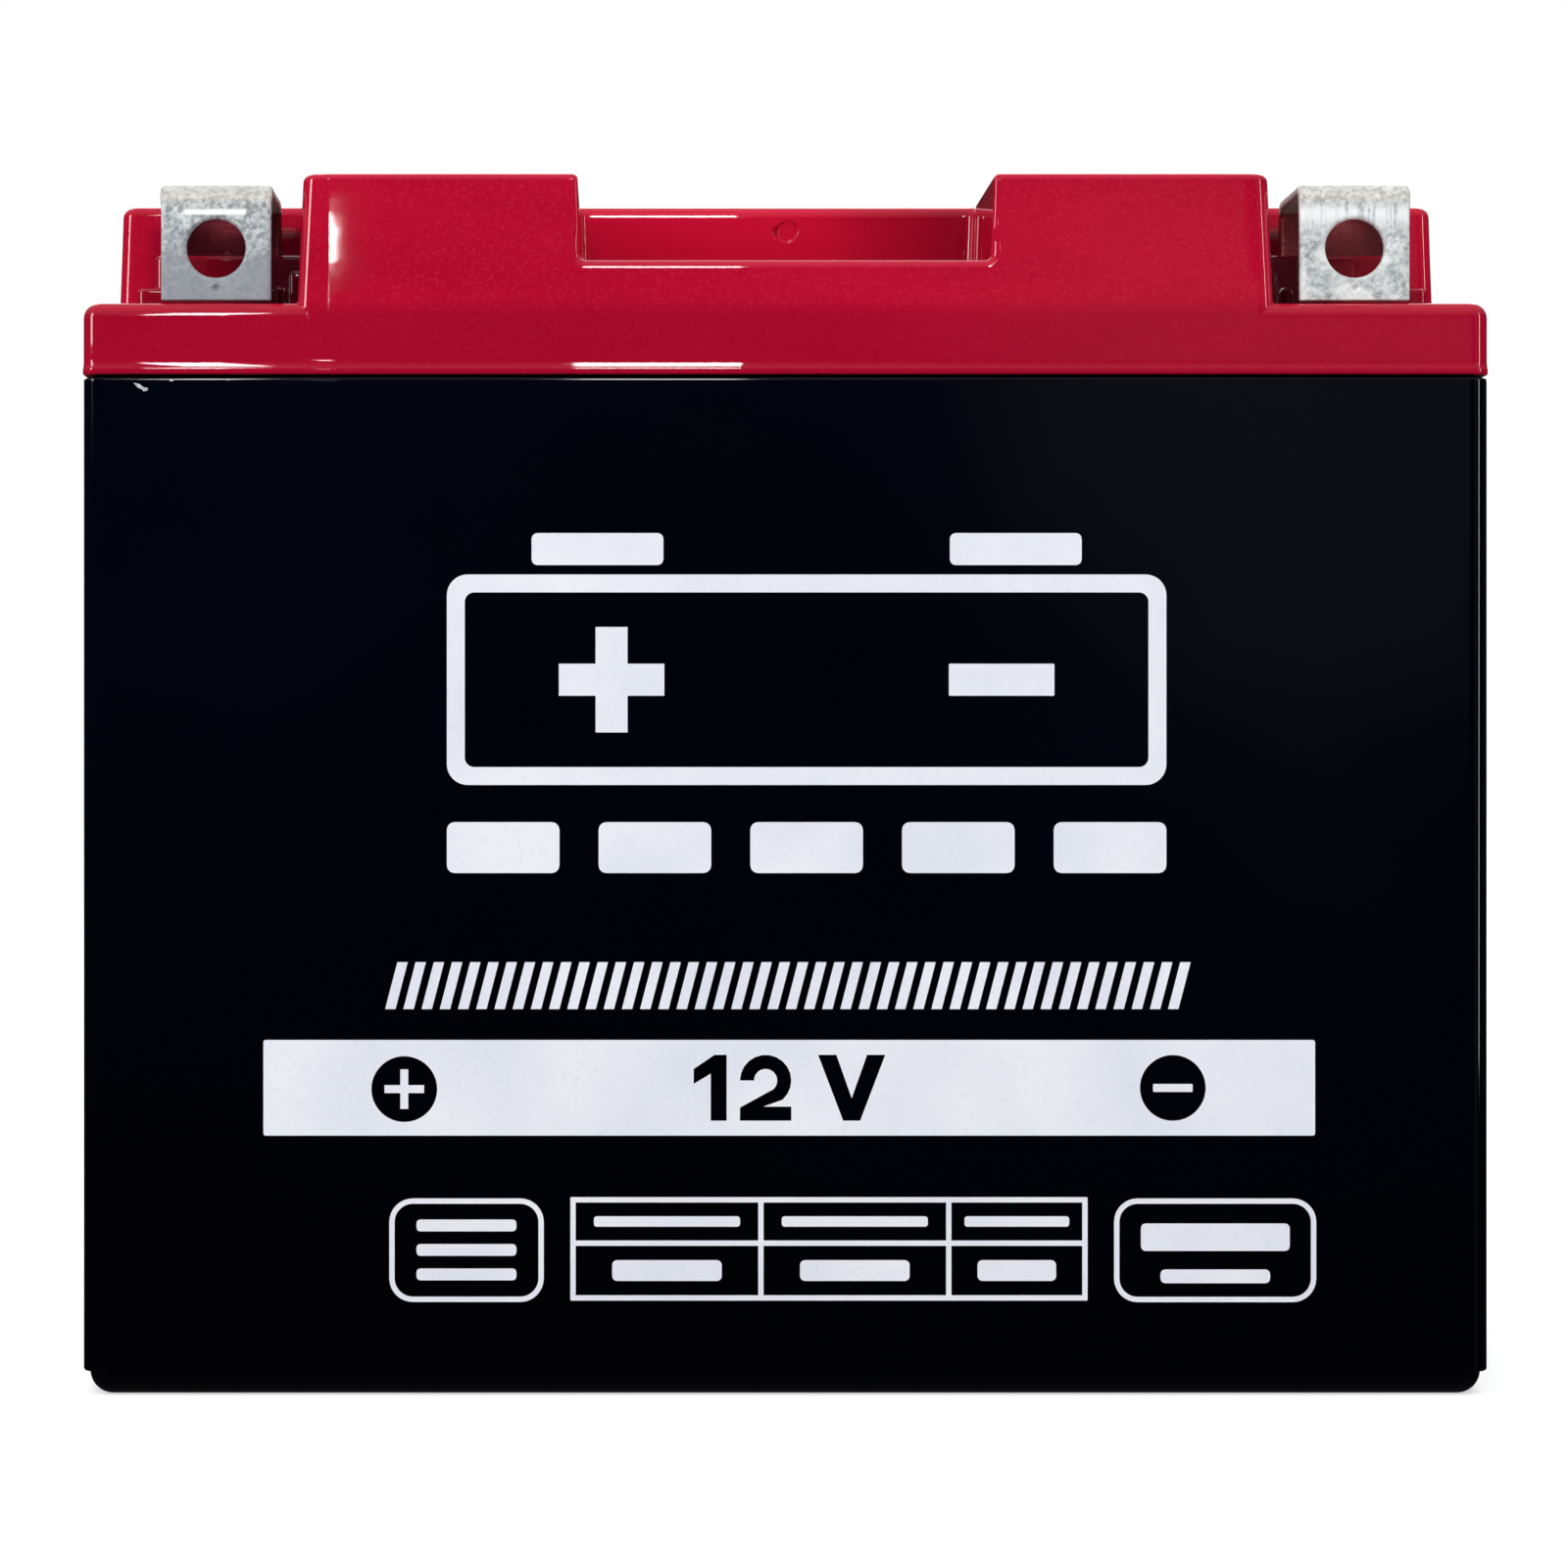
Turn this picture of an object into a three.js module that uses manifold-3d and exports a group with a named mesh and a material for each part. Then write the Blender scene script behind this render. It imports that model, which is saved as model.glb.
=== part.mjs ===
// A 12 V sealed motorcycle battery: a six-cell container, a stepped cover with terminal bays at
// its two front corners, folded-strap terminals, and the cell elements, straps, posts and vent
// valves inside. Millimetres, +Z up, origin at the middle of the bottom face, front face towards -Y,
// positive terminal at -X.
import * as THREE from "three";
import { mergeVertices } from "three/addons/utils/BufferGeometryUtils.js";
import Module from "manifold-3d";

// ---------------------------------------------------------------- driving dimensions
const LENGTH = 150; // overall, X
const DEPTH = 69; // overall, Y
const HEIGHT = 130; // overall, Z

const SEAM_Z = 108.6; // underside of the cover's skirt
const CASE_TOP_Z = 108.3; // shoulder of the container under the skirt
const RIM_TOP_Z = 112.0; // container rim and cell walls, inside the cover
const CEILING_Z = 112.3; // cover's underside over the rim
const BAY_Z = 116.3; // floor of the terminal bays
const NOTCH_Z = 120.8; // floor of the notch in the middle of the front
const CORNER_R = 2.2; // vertical outer corners

const WALL = 2.5; // cover walls
const CASE_WALL = 2.7;
const BODY_X = 74.9; // container half length
const BODY_Y = 34.4; // container half depth
const RIM_X = 73.6; // rim that stands up inside the cover's skirt
const RIM_Y = 33.1;
const FOOT_Z = 2.5; // the foot is drawn in below this height
const FOOT_IN = 0.65;
const BOTTOM_R = 2.6; // rounded bottom edges

const CELLS = 6;
const PARTITION = 1.5;
const INNER_X = BODY_X - CASE_WALL;
const INNER_Y = BODY_Y - CASE_WALL;
const CELL_W = (2 * INNER_X - (CELLS - 1) * PARTITION) / CELLS;
const PITCH = CELL_W + PARTITION;
const FLOOR_Z = 2.5;
const REST_Z = 4.0; // top of the element rests on the cell floor

const PLATEAU_X = 74.0; // raised rear part of the cover, at the bays' floor
const PLATEAU_FRONT_Y = -10.8;
const PLATEAU_REAR_Y = 33.6;
const BLOCK_X = 51.9; // outer sides of the two front blocks, at the bays' floor
const BLOCK_FRONT_Y = -34.4;
const NOTCH_X = 22.05; // half width of the notch between the blocks, at its floor
const BLOCK_R = 2.4;
const DRAFT = Math.tan((2.0 * Math.PI) / 180); // mould draft of the plateau and the notch
const BLOCK_DRAFT = Math.tan((3.3 * Math.PI) / 180);

const TERMINAL_X = 60.75;
const SHEET = 1.1; // terminal strap thickness
const TERMINAL_W = 12;
const TERMINAL_FRONT_Y = -33.0;
const TERMINAL_REAR_Y = -19.4;
const TERMINAL_TOP_Z = 129.1;
const TERMINAL_FOOT_Z = 117.3;
const BOLT_R = 3.15;
const BOLT_Z = 122.2;
const BEND_R = 1.8;

const PEDESTAL_OUT_X = 68.5;
const PEDESTAL_FRONT_Y = -24.0;
const PEDESTAL_Z = 122.7;
const CHAMBER_Z = 117.0;

const POST_Y = -15.3;
const POST_R = 3.0;
const POST_TOP_Z = 120.5;

const VALVE_Y = 11.2; // row of vent chimneys
const TROUGH_Z = 122.0;
const LEDGE_Z = 127.9;
const CHIMNEY_R = 3.5;
const CHIMNEY_TOP_Z = 126.0;

const PLATE_Y = 29.0;
const PLATE_TOP_Z = 94.0;
const PLATE_FOOT_Z = 4.3;
const POSITIVE_T = 1.9;
const NEGATIVE_T = 1.5;
const MAT_T = 0.5;
const MAT_Y = 30.6;
const MAT_TOP_Z = 95.5;
const STRAP_Z = [98.5, 101.5];
const STRAP_HALF_Y = 5.0;
const TOMBSTONE_TOP_Z = 108.5;
const LINK_Z = 104.8;
const LINK_R = 3.5;

const ARC = 5; // segments in a quarter turn
const ROUND = 20; // segments in a full turn

// ---------------------------------------------------------------- solids
const wasm = await Module();
wasm.setup();

function solid(geometry) {
  const g = geometry.index ? geometry.toNonIndexed() : geometry.clone();
  for (const name of Object.keys(g.attributes))
    if (name !== "position") g.deleteAttribute(name);
  const merged = mergeVertices(g, 1e-4);
  return new wasm.Manifold(
    new wasm.Mesh({
      numProp: 3,
      vertProperties: new Float32Array(merged.attributes.position.array),
      triVerts: new Uint32Array(merged.index.array),
    }),
  );
}

function geometryOf(s) {
  const m = s.getMesh();
  const g = new THREE.BufferGeometry();
  g.setAttribute(
    "position",
    new THREE.BufferAttribute(new Float32Array(m.vertProperties), 3),
  );
  g.setIndex(new THREE.BufferAttribute(new Uint32Array(m.triVerts), 1));
  g.computeVertexNormals();
  return g;
}

const join = (...list) => list.flat().reduce((a, b) => a.add(b));
const cut = (body, ...list) => list.flat().reduce((a, b) => a.subtract(b), body);

function box(x0, x1, y0, y1, z0, z1) {
  const g = new THREE.BoxGeometry(x1 - x0, y1 - y0, z1 - z0);
  g.translate((x0 + x1) / 2, (y0 + y1) / 2, (z0 + z1) / 2);
  return solid(g);
}

// A rounded rectangle with one radius, or four: lower left, lower right, upper right, upper left.
function roundRect(x0, x1, y0, y1, r) {
  const [a, b, c, d] = Array.isArray(r) ? r : [r, r, r, r];
  const s = new THREE.Shape();
  s.moveTo(x0 + a, y0);
  s.lineTo(x1 - b, y0);
  if (b) s.absarc(x1 - b, y0 + b, b, -Math.PI / 2, 0, false);
  s.lineTo(x1, y1 - c);
  if (c) s.absarc(x1 - c, y1 - c, c, 0, Math.PI / 2, false);
  s.lineTo(x0 + d, y1);
  if (d) s.absarc(x0 + d, y1 - d, d, Math.PI / 2, Math.PI, false);
  s.lineTo(x0, y0 + a);
  if (a) s.absarc(x0 + a, y0 + a, a, Math.PI, 1.5 * Math.PI, false);
  return s;
}

const extruded = (shape, depth) =>
  new THREE.ExtrudeGeometry(shape, {
    depth,
    bevelEnabled: false,
    curveSegments: ARC,
    steps: 1,
  });

// Straight up from z0 to z1, or drawn in towards x = 0 and y = y0 above the height where it has its
// outline, by the shares given for the top.
function prismZ(shape, z0, z1, draft) {
  const g = extruded(shape, z1 - z0);
  g.translate(0, 0, z0);
  if (draft) {
    const p = g.attributes.position;
    for (let i = 0; i < p.count; i++) {
      const t = (p.getZ(i) - draft.z) / (z1 - draft.z);
      p.setX(i, p.getX(i) * (1 + t * (draft.kx - 1)));
      p.setY(i, draft.y + (p.getY(i) - draft.y) * (1 + t * (draft.ky - 1)));
    }
  }
  return solid(g);
}

// The outline's x is X and its y is Z.
function prismY(shape, y0, y1) {
  const g = extruded(shape, y1 - y0);
  g.rotateX(Math.PI / 2);
  g.translate(0, y1, 0);
  return solid(g);
}

// The outline's x is Y and its y is Z.
function prismX(shape, x0, x1) {
  const g = extruded(shape, x1 - x0);
  g.applyMatrix4(
    new THREE.Matrix4().makeBasis(
      new THREE.Vector3(0, 1, 0),
      new THREE.Vector3(0, 0, 1),
      new THREE.Vector3(1, 0, 0),
    ),
  );
  g.translate(x0, 0, 0);
  return solid(g);
}

function cylinder(axis, centre, r, from, to, segments = ROUND) {
  const g = new THREE.CylinderGeometry(r, r, to - from, segments);
  const mid = (from + to) / 2;
  if (axis === "z") {
    g.rotateX(Math.PI / 2);
    g.translate(centre[0], centre[1], mid);
  } else if (axis === "y") {
    g.translate(centre[0], mid, centre[1]);
  } else {
    g.rotateZ(Math.PI / 2);
    g.translate(mid, centre[0], centre[1]);
  }
  return solid(g);
}

// Turned about a vertical axis. The profile starts and ends on the axis.
function turned(profile, x, y, segments = ROUND) {
  const make = (points) => {
    const g = new THREE.LatheGeometry(
      points.map(([r, z]) => new THREE.Vector2(r, z)),
      segments,
    );
    g.rotateX(Math.PI / 2);
    g.translate(x, y, 0);
    return solid(g);
  };
  const first = make(profile);
  return first.volume() > 0 ? first : make([...profile].reverse());
}

// ---------------------------------------------------------------- layout
const cellX = Array.from(
  { length: CELLS },
  (_, k) => (k - (CELLS - 1) / 2) * PITCH,
);
const partitionX = cellX.slice(0, -1).map((x) => x + PITCH / 2);
// The positive lugs stand at the front in cells 1, 3 and 5, and at the rear in the others.
const positiveY = (k) => (k % 2 ? -POST_Y : POST_Y);

// ---------------------------------------------------------------- container
function makeCase() {
  const fx = BODY_X - FOOT_IN,
    fy = BODY_Y - FOOT_IN;
  const foot = prismZ(
    roundRect(-fx, fx, -fy, fy, CORNER_R),
    0,
    FOOT_Z + 1,
  )
    .intersect(
      prismY(
        roundRect(-fx, fx, 0, 20, [BOTTOM_R, BOTTOM_R, 0, 0]),
        -fy - 1,
        fy + 1,
      ),
    )
    .intersect(
      prismX(
        roundRect(-fy, fy, 0, 20, [BOTTOM_R, BOTTOM_R, 0, 0]),
        -fx - 1,
        fx + 1,
      ),
    );
  const body = prismZ(
    roundRect(-BODY_X, BODY_X, -BODY_Y, BODY_Y, CORNER_R),
    FOOT_Z,
    CASE_TOP_Z,
  );
  const rim = prismZ(
    roundRect(-RIM_X, RIM_X, -RIM_Y, RIM_Y, 1.5),
    CASE_TOP_Z - 0.5,
    RIM_TOP_Z,
  );
  const rests = [],
    hollows = [],
    windows = [];
  cellX.forEach((x, k) => {
    hollows.push(
      box(x - CELL_W / 2, x + CELL_W / 2, -INNER_Y, INNER_Y, FLOOR_Z, 120),
    );
    for (const y of [-16, 16])
      rests.push(
        box(
          x - CELL_W / 2 - 0.2,
          x + CELL_W / 2 + 0.2,
          y - 1,
          y + 1,
          FLOOR_Z - 0.5,
          REST_Z,
        ),
      );
    if (k < CELLS - 1)
      windows.push(
        cylinder(
          "x",
          [-positiveY(k), LINK_Z],
          LINK_R + 0.3,
          partitionX[k] - PARTITION,
          partitionX[k] + PARTITION,
        ),
      );
  });
  return join(cut(join(body, foot, rim), hollows), rests).subtract(
    join(windows),
  );
}

// ---------------------------------------------------------------- cover
function makeCover() {
  const skirt = prismZ(
    roundRect(-LENGTH / 2, LENGTH / 2, -DEPTH / 2, DEPTH / 2, CORNER_R),
    SEAM_Z,
    BAY_Z,
  );
  const plateau = prismZ(
    roundRect(
      -PLATEAU_X,
      PLATEAU_X,
      PLATEAU_FRONT_Y,
      PLATEAU_REAR_Y,
      1.8,
    ),
    BAY_Z - 1,
    HEIGHT,
    {
      z: BAY_Z,
      y: PLATEAU_FRONT_Y,
      kx: 1 - ((HEIGHT - BAY_Z) * DRAFT) / PLATEAU_X,
      ky:
        1 - ((HEIGHT - BAY_Z) * DRAFT) / (PLATEAU_REAR_Y - PLATEAU_FRONT_Y),
    },
  );
  const blocks = prismZ(
    roundRect(-BLOCK_X, BLOCK_X, BLOCK_FRONT_Y, 0, [BLOCK_R, BLOCK_R, 0, 0]),
    BAY_Z - 1,
    HEIGHT,
    {
      z: BAY_Z,
      y: BLOCK_FRONT_Y,
      kx: 1 - ((HEIGHT - BAY_Z) * BLOCK_DRAFT) / BLOCK_X,
      ky: 1,
    },
  );
  // The notch opens to the front with rounded edges and has small radii at its inner corners.
  const f = BLOCK_FRONT_Y,
    n = NOTCH_X,
    r = BLOCK_R,
    e = 1.1;
  const notch = new THREE.Shape();
  notch.moveTo(-n - r, f - 1);
  notch.lineTo(n + r, f - 1);
  notch.lineTo(n + r, f);
  notch.absarc(n + r, f + r, r, -Math.PI / 2, Math.PI, true);
  notch.lineTo(n, PLATEAU_FRONT_Y - e);
  notch.absarc(n - e, PLATEAU_FRONT_Y - e, e, 0, Math.PI / 2, false);
  notch.lineTo(-n + e, PLATEAU_FRONT_Y);
  notch.absarc(-n + e, PLATEAU_FRONT_Y - e, e, Math.PI / 2, Math.PI, false);
  notch.lineTo(-n, f + r);
  notch.absarc(-n - r, f + r, r, 0, -Math.PI / 2, true);
  notch.closePath();

  const adds = [skirt, plateau, blocks],
    cuts = [
      prismZ(notch, NOTCH_Z, HEIGHT + 1, {
        z: NOTCH_Z,
        y: PLATEAU_FRONT_Y,
        kx: 1 + ((HEIGHT + 1 - NOTCH_Z) * DRAFT) / NOTCH_X,
        ky: 1,
      }),
    ];
  for (const side of [-1, 1]) {
    const span = (a, b) => (side < 0 ? [-b, -a] : [a, b]);
    const [p0, p1] = span(BLOCK_X - 0.5, PEDESTAL_OUT_X);
    adds.push(
      prismZ(
        roundRect(
          p0,
          p1,
          PEDESTAL_FRONT_Y,
          PLATEAU_FRONT_Y + 0.5,
          side < 0 ? [1.2, 0, 0, 0] : [0, 1.2, 0, 0],
        ),
        BAY_Z - 0.5,
        PEDESTAL_Z,
      ),
    );
    const [b0, b1] = span(54.6, 70.2);
    adds.push(
      prismZ(
        roundRect(b0, b1, PEDESTAL_FRONT_Y - 1.3, PLATEAU_FRONT_Y - 3, 1.0),
        BAY_Z - 0.5,
        118.9,
      ),
    );
    const [c0, c1] = span(BLOCK_X - 0.5, 53.5);
    adds.push(
      prismZ(
        roundRect(
          c0,
          c1,
          -28.2,
          PEDESTAL_FRONT_Y + 0.5,
          side < 0 ? [0.8, 0, 0, 0] : [0, 0.8, 0, 0],
        ),
        BAY_Z - 0.5,
        120.4,
      ),
    );
    // chamber that the terminal's foot and the resin sit in, and the stepped post hole below it
    const x = side * TERMINAL_X;
    cuts.push(
      box(
        x - TERMINAL_W / 2 - 0.4,
        x + TERMINAL_W / 2 + 0.4,
        -20.8,
        PLATEAU_FRONT_Y,
        CHAMBER_Z,
        HEIGHT + 1,
      ),
      cylinder("z", [x, POST_Y], POST_R + 0.5, CEILING_Z - 1, CHAMBER_Z + 1),
      cylinder("z", [x, POST_Y], 5.0, CEILING_Z + 1.2, CHAMBER_Z + 1),
    );
  }

  // underside: the rim's recess, and one gas space over each cell
  cuts.push(
    prismZ(
      roundRect(-RIM_X - 0.3, RIM_X + 0.3, -RIM_Y - 0.3, RIM_Y + 0.3, 1.8),
      SEAM_Z - 1,
      CEILING_Z,
    ),
  );
  const z0 = CEILING_Z - 1;
  cellX.forEach((x) => {
    const a = Math.max(x - CELL_W / 2 + 0.7, -PLATEAU_X + WALL),
      b = Math.min(x + CELL_W / 2 - 0.7, PLATEAU_X - WALL);
    cuts.push(
      box(a, b, PLATEAU_FRONT_Y + WALL, PLATEAU_REAR_Y - WALL, z0, TROUGH_Z - WALL),
      box(a, b, PLATEAU_FRONT_Y + WALL, VALVE_Y - 12.2, z0, HEIGHT - WALL),
      box(a, b, VALVE_Y + 12.2, PLATEAU_REAR_Y - WALL, z0, HEIGHT - WALL),
    );
    if (Math.abs(x) < 50) {
      const high = Math.abs(x) > 20 ? HEIGHT - WALL : NOTCH_Z - WALL;
      cuts.push(
        box(a, b, BLOCK_FRONT_Y + WALL, PLATEAU_FRONT_Y + WALL + 0.1, z0, high),
      );
    }
  });

  // top side: the trough over the vents, with a ledge for its lid
  cuts.push(
    prismZ(
      roundRect(-69.0, 69.0, VALVE_Y - 9.4, VALVE_Y + 9.4, 1.5),
      TROUGH_Z,
      HEIGHT + 1,
    ),
    prismZ(
      roundRect(-70.6, 70.6, VALVE_Y - 11, VALVE_Y + 11, 2.0),
      LEDGE_Z,
      HEIGHT + 1,
    ),
  );
  const chimneys = cellX.map((x) =>
    cylinder("z", [x, VALVE_Y], CHIMNEY_R, TROUGH_Z - WALL, CHIMNEY_TOP_Z),
  );
  const bores = cellX.map((x) =>
    cylinder("z", [x, VALVE_Y], 2.2, TROUGH_Z - WALL - 1, CHIMNEY_TOP_Z + 1),
  );
  return cut(join(cut(join(adds), cuts), chimneys), bores);
}

// Lid over the vents, with a socket for the flame filter under its outlet.
function makeVentLid() {
  const plate = prismZ(
    roundRect(-70.3, 70.3, VALVE_Y - 10.7, VALVE_Y + 10.7, 1.7),
    LEDGE_Z + 0.3,
    HEIGHT,
  );
  const socket = cylinder("z", [0, VALVE_Y], 4.2, 125.0, LEDGE_Z + 0.5);
  return cut(
    plate.add(socket),
    cylinder("z", [0, VALVE_Y], 3.3, 124.0, 128.5),
    cylinder("z", [0, VALVE_Y], 1.0, 128.0, 131.0),
  );
}

const makeFilter = () => cylinder("z", [0, VALVE_Y], 3.0, 126.2, 128.2);

const makeValveCap = (k) =>
  turned(
    [
      [0, 126.1],
      [CHIMNEY_R + 0.15, 126.1],
      [CHIMNEY_R + 0.15, 122.8],
      [4.6, 122.8],
      [4.6, 126.9],
      [4.1, 127.4],
      [0, 127.4],
    ],
    cellX[k],
    VALVE_Y,
  );

// ---------------------------------------------------------------- terminals
function makeTerminal(side) {
  const x = side * TERMINAL_X,
    f = TERMINAL_FRONT_Y,
    b = TERMINAL_REAR_Y,
    top = TERMINAL_TOP_Z,
    foot = TERMINAL_FOOT_Z,
    R = BEND_R,
    r = BEND_R - SHEET,
    t = SHEET,
    P = Math.PI;
  const s = new THREE.Shape();
  s.moveTo(f, BAY_Z + 0.3);
  s.lineTo(f, top - R);
  s.absarc(f + R, top - R, R, P, P / 2, true);
  s.lineTo(b - R, top);
  s.absarc(b - R, top - R, R, P / 2, 0, true);
  s.lineTo(b, foot + R);
  s.absarc(b + r, foot + R, r, P, 1.5 * P, false);
  s.lineTo(-11.1, foot + t);
  s.lineTo(-11.1, foot);
  s.lineTo(b + r, foot);
  s.absarc(b + r, foot + R, R, 1.5 * P, P, true);
  s.lineTo(b - t, top - R);
  s.absarc(b - R, top - R, r, 0, P / 2, false);
  s.lineTo(f + R, top - t);
  s.absarc(f + R, top - R, r, P / 2, P, false);
  s.lineTo(f + t, BAY_Z + 0.3);
  s.closePath();
  return cut(
    prismX(s, x - TERMINAL_W / 2, x + TERMINAL_W / 2),
    cylinder("y", [x, BOLT_Z], BOLT_R, f - 1, f + t + 1, 32),
    cylinder("z", [x, (f + b) / 2], BOLT_R, top - t - 1, top + 1, 32),
    cylinder("z", [x, POST_Y], POST_R + 0.3, foot - 1, foot + t + 1),
  );
}

const makePost = (side) =>
  turned(
    [
      [0, STRAP_Z[1] + 0.1],
      [POST_R + 1.2, STRAP_Z[1] + 0.1],
      [POST_R + 1.2, STRAP_Z[1] + 2.1],
      [POST_R, STRAP_Z[1] + 4.1],
      [POST_R, POST_TOP_Z - 0.5],
      [POST_R - 0.5, POST_TOP_Z],
      [0, POST_TOP_Z],
    ],
    side * TERMINAL_X,
    POST_Y,
  );

const makeSeal = (side) =>
  cut(
    cylinder("z", [side * TERMINAL_X, POST_Y], 4.8, 113.7, 116.8),
    cylinder("z", [side * TERMINAL_X, POST_Y], POST_R + 0.15, 113, 118),
  );

const makeResin = (side) => {
  const x = side * TERMINAL_X;
  return cut(
    box(x - 6.1, x + 6.1, TERMINAL_REAR_Y + 0.3, -11.1, 118.7, 122.2),
    cylinder("z", [x, POST_Y], POST_R + 0.3, 118, POST_TOP_Z + 0.3),
  );
};

// ---------------------------------------------------------------- cells
const GAP = (CELL_W - 0.45 - 5 * NEGATIVE_T - 4 * POSITIVE_T) / 8; // room for one mat between plates
const layers = [];
{
  let u = -(CELL_W - 0.45) / 2;
  for (let i = 0; i < 9; i++) {
    const t = i % 2 ? POSITIVE_T : NEGATIVE_T;
    layers.push([u, u + t]);
    u += t + GAP;
  }
}
const negativeLayers = layers.filter((_, i) => i % 2 === 0);
const positiveLayers = layers.filter((_, i) => i % 2 === 1);
const mats = layers
  .slice(0, -1)
  .map(([, end], i) => (end + layers[i + 1][0]) / 2);

// Plates, their lugs and the strap cast on to them are one lead piece.
function makeGroup(k, plates, lugY, link) {
  const x = cellX[k];
  const pieces = [];
  for (const [a, b] of plates)
    pieces.push(
      box(x + a, x + b, -PLATE_Y, PLATE_Y, PLATE_FOOT_Z, PLATE_TOP_Z),
      box(x + a, x + b, lugY - 3.5, lugY + 3.5, PLATE_TOP_Z - 0.5, STRAP_Z[0] + 0.5),
    );
  const y0 = lugY - STRAP_HALF_Y,
    y1 = lugY + STRAP_HALF_Y,
    edge = CELL_W / 2 - 0.3,
    bare = CELL_W / 2 - 1;
  pieces.push(
    box(
      x + (link < 0 ? -edge : -bare),
      x + (link > 0 ? edge : bare),
      y0,
      y1,
      ...STRAP_Z,
    ),
  );
  if (link)
    pieces.push(
      box(
        x + (link < 0 ? -edge : edge - 2.2),
        x + (link < 0 ? -edge + 2.2 : edge),
        y0,
        y1,
        STRAP_Z[0],
        TOMBSTONE_TOP_Z,
      ),
    );
  return join(pieces);
}

// One long mat folded back and forth round the side edges of the plates.
function makeMat(k) {
  const x = cellX[k],
    h = MAT_T / 2,
    s = new THREE.Shape(),
    up = [],
    down = [];
  mats.forEach((u, i) => {
    const last = i === mats.length - 1;
    if (i % 2 === 0) {
      up.push([u - h, i ? -MAT_Y + MAT_T : -MAT_Y], [u - h, MAT_Y]);
      down.push([u + h, -MAT_Y], [u + h, last ? MAT_Y : MAT_Y - MAT_T]);
    } else {
      up.push([u + h, MAT_Y], [u + h, last ? -MAT_Y : -MAT_Y + MAT_T]);
      down.push([u - h, MAT_Y - MAT_T], [u - h, -MAT_Y]);
    }
  });
  const outline = [...up, ...down.reverse()];
  outline.forEach(([px, py], i) => (i ? s.lineTo(x + px, py) : s.moveTo(x + px, py)));
  s.closePath();
  return prismZ(s, REST_Z + 0.2, MAT_TOP_Z);
}

const makeLink = (k) =>
  cylinder(
    "x",
    [-positiveY(k), LINK_Z],
    LINK_R,
    partitionX[k] - PARTITION / 2 - 0.2,
    partitionX[k] + PARTITION / 2 + 0.2,
  );

// ---------------------------------------------------------------- materials
const finish = (color, roughness, metalness) =>
  new THREE.MeshStandardMaterial({ color, roughness, metalness });
const blackPlastic = finish(0x06080d, 0.22, 0);
const redPlastic = finish(0xb51226, 0.25, 0);
const tinned = finish(0xb9bec2, 0.38, 1);
const lead = finish(0x75797d, 0.6, 1);
const positivePlate = finish(0x3a241c, 0.9, 0);
const negativePlate = finish(0x6e7276, 0.85, 0.2);
const glassMat = finish(0xe9ebe6, 0.95, 0);
const rubber = finish(0x17181a, 0.8, 0);
const sinter = finish(0xdedbd0, 0.95, 0);
const redResin = finish(0x8e1018, 0.3, 0);
const blackResin = finish(0x101114, 0.3, 0);

// ---------------------------------------------------------------- assembly
const battery = new THREE.Group();
function place(name, s, material, parent = battery) {
  const mesh = new THREE.Mesh(geometryOf(s), material);
  mesh.name = name;
  parent.add(mesh);
  return mesh;
}

place("case", makeCase(), blackPlastic);
place("cover", makeCover(), redPlastic);
place("vent_lid", makeVentLid(), redPlastic);
place("flame_filter", makeFilter(), sinter);

const vents = new THREE.Group();
battery.add(vents);
cellX.forEach((_, k) =>
  place("valve_cap_" + (k + 1), makeValveCap(k), rubber, vents),
);

for (const [name, side, resin] of [
  ["positive", -1, redResin],
  ["negative", 1, blackResin],
]) {
  const terminal = new THREE.Group();
  battery.add(terminal);
  place(name + "_terminal", makeTerminal(side), tinned, terminal);
  place(name + "_post", makePost(side), lead, terminal);
  place(name + "_post_seal", makeSeal(side), rubber, terminal);
  place(name + "_resin_seal", makeResin(side), resin, terminal);
}

cellX.forEach((_, k) => {
  const cell = new THREE.Group();
  battery.add(cell);
  const n = k + 1;
  place(
    "positive_plates_" + n,
    makeGroup(k, positiveLayers, positiveY(k), k === 0 ? 0 : -1),
    positivePlate,
    cell,
  );
  place(
    "negative_plates_" + n,
    makeGroup(k, negativeLayers, -positiveY(k), k === CELLS - 1 ? 0 : 1),
    negativePlate,
    cell,
  );
  place("glass_mat_" + n, makeMat(k), glassMat, cell);
  if (k < CELLS - 1)
    place("cell_link_" + n + "_" + (n + 1), makeLink(k), lead, cell);
});

export default battery;
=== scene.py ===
import math

import bmesh
import bpy
import numpy as np
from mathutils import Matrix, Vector


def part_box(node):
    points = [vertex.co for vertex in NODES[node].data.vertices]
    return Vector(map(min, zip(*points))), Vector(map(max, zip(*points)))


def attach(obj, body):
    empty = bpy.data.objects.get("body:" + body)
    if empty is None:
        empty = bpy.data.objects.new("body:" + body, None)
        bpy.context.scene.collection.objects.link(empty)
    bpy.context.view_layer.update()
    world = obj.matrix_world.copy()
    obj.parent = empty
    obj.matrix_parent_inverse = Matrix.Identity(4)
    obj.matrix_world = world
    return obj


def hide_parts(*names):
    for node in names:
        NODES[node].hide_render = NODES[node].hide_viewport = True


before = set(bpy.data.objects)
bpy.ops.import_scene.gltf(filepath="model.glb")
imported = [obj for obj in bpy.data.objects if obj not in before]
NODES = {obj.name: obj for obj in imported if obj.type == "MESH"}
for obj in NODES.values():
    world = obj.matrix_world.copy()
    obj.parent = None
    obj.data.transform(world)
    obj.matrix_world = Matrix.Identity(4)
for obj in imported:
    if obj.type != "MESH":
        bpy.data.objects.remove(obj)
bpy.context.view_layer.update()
MM = 0.001

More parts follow.
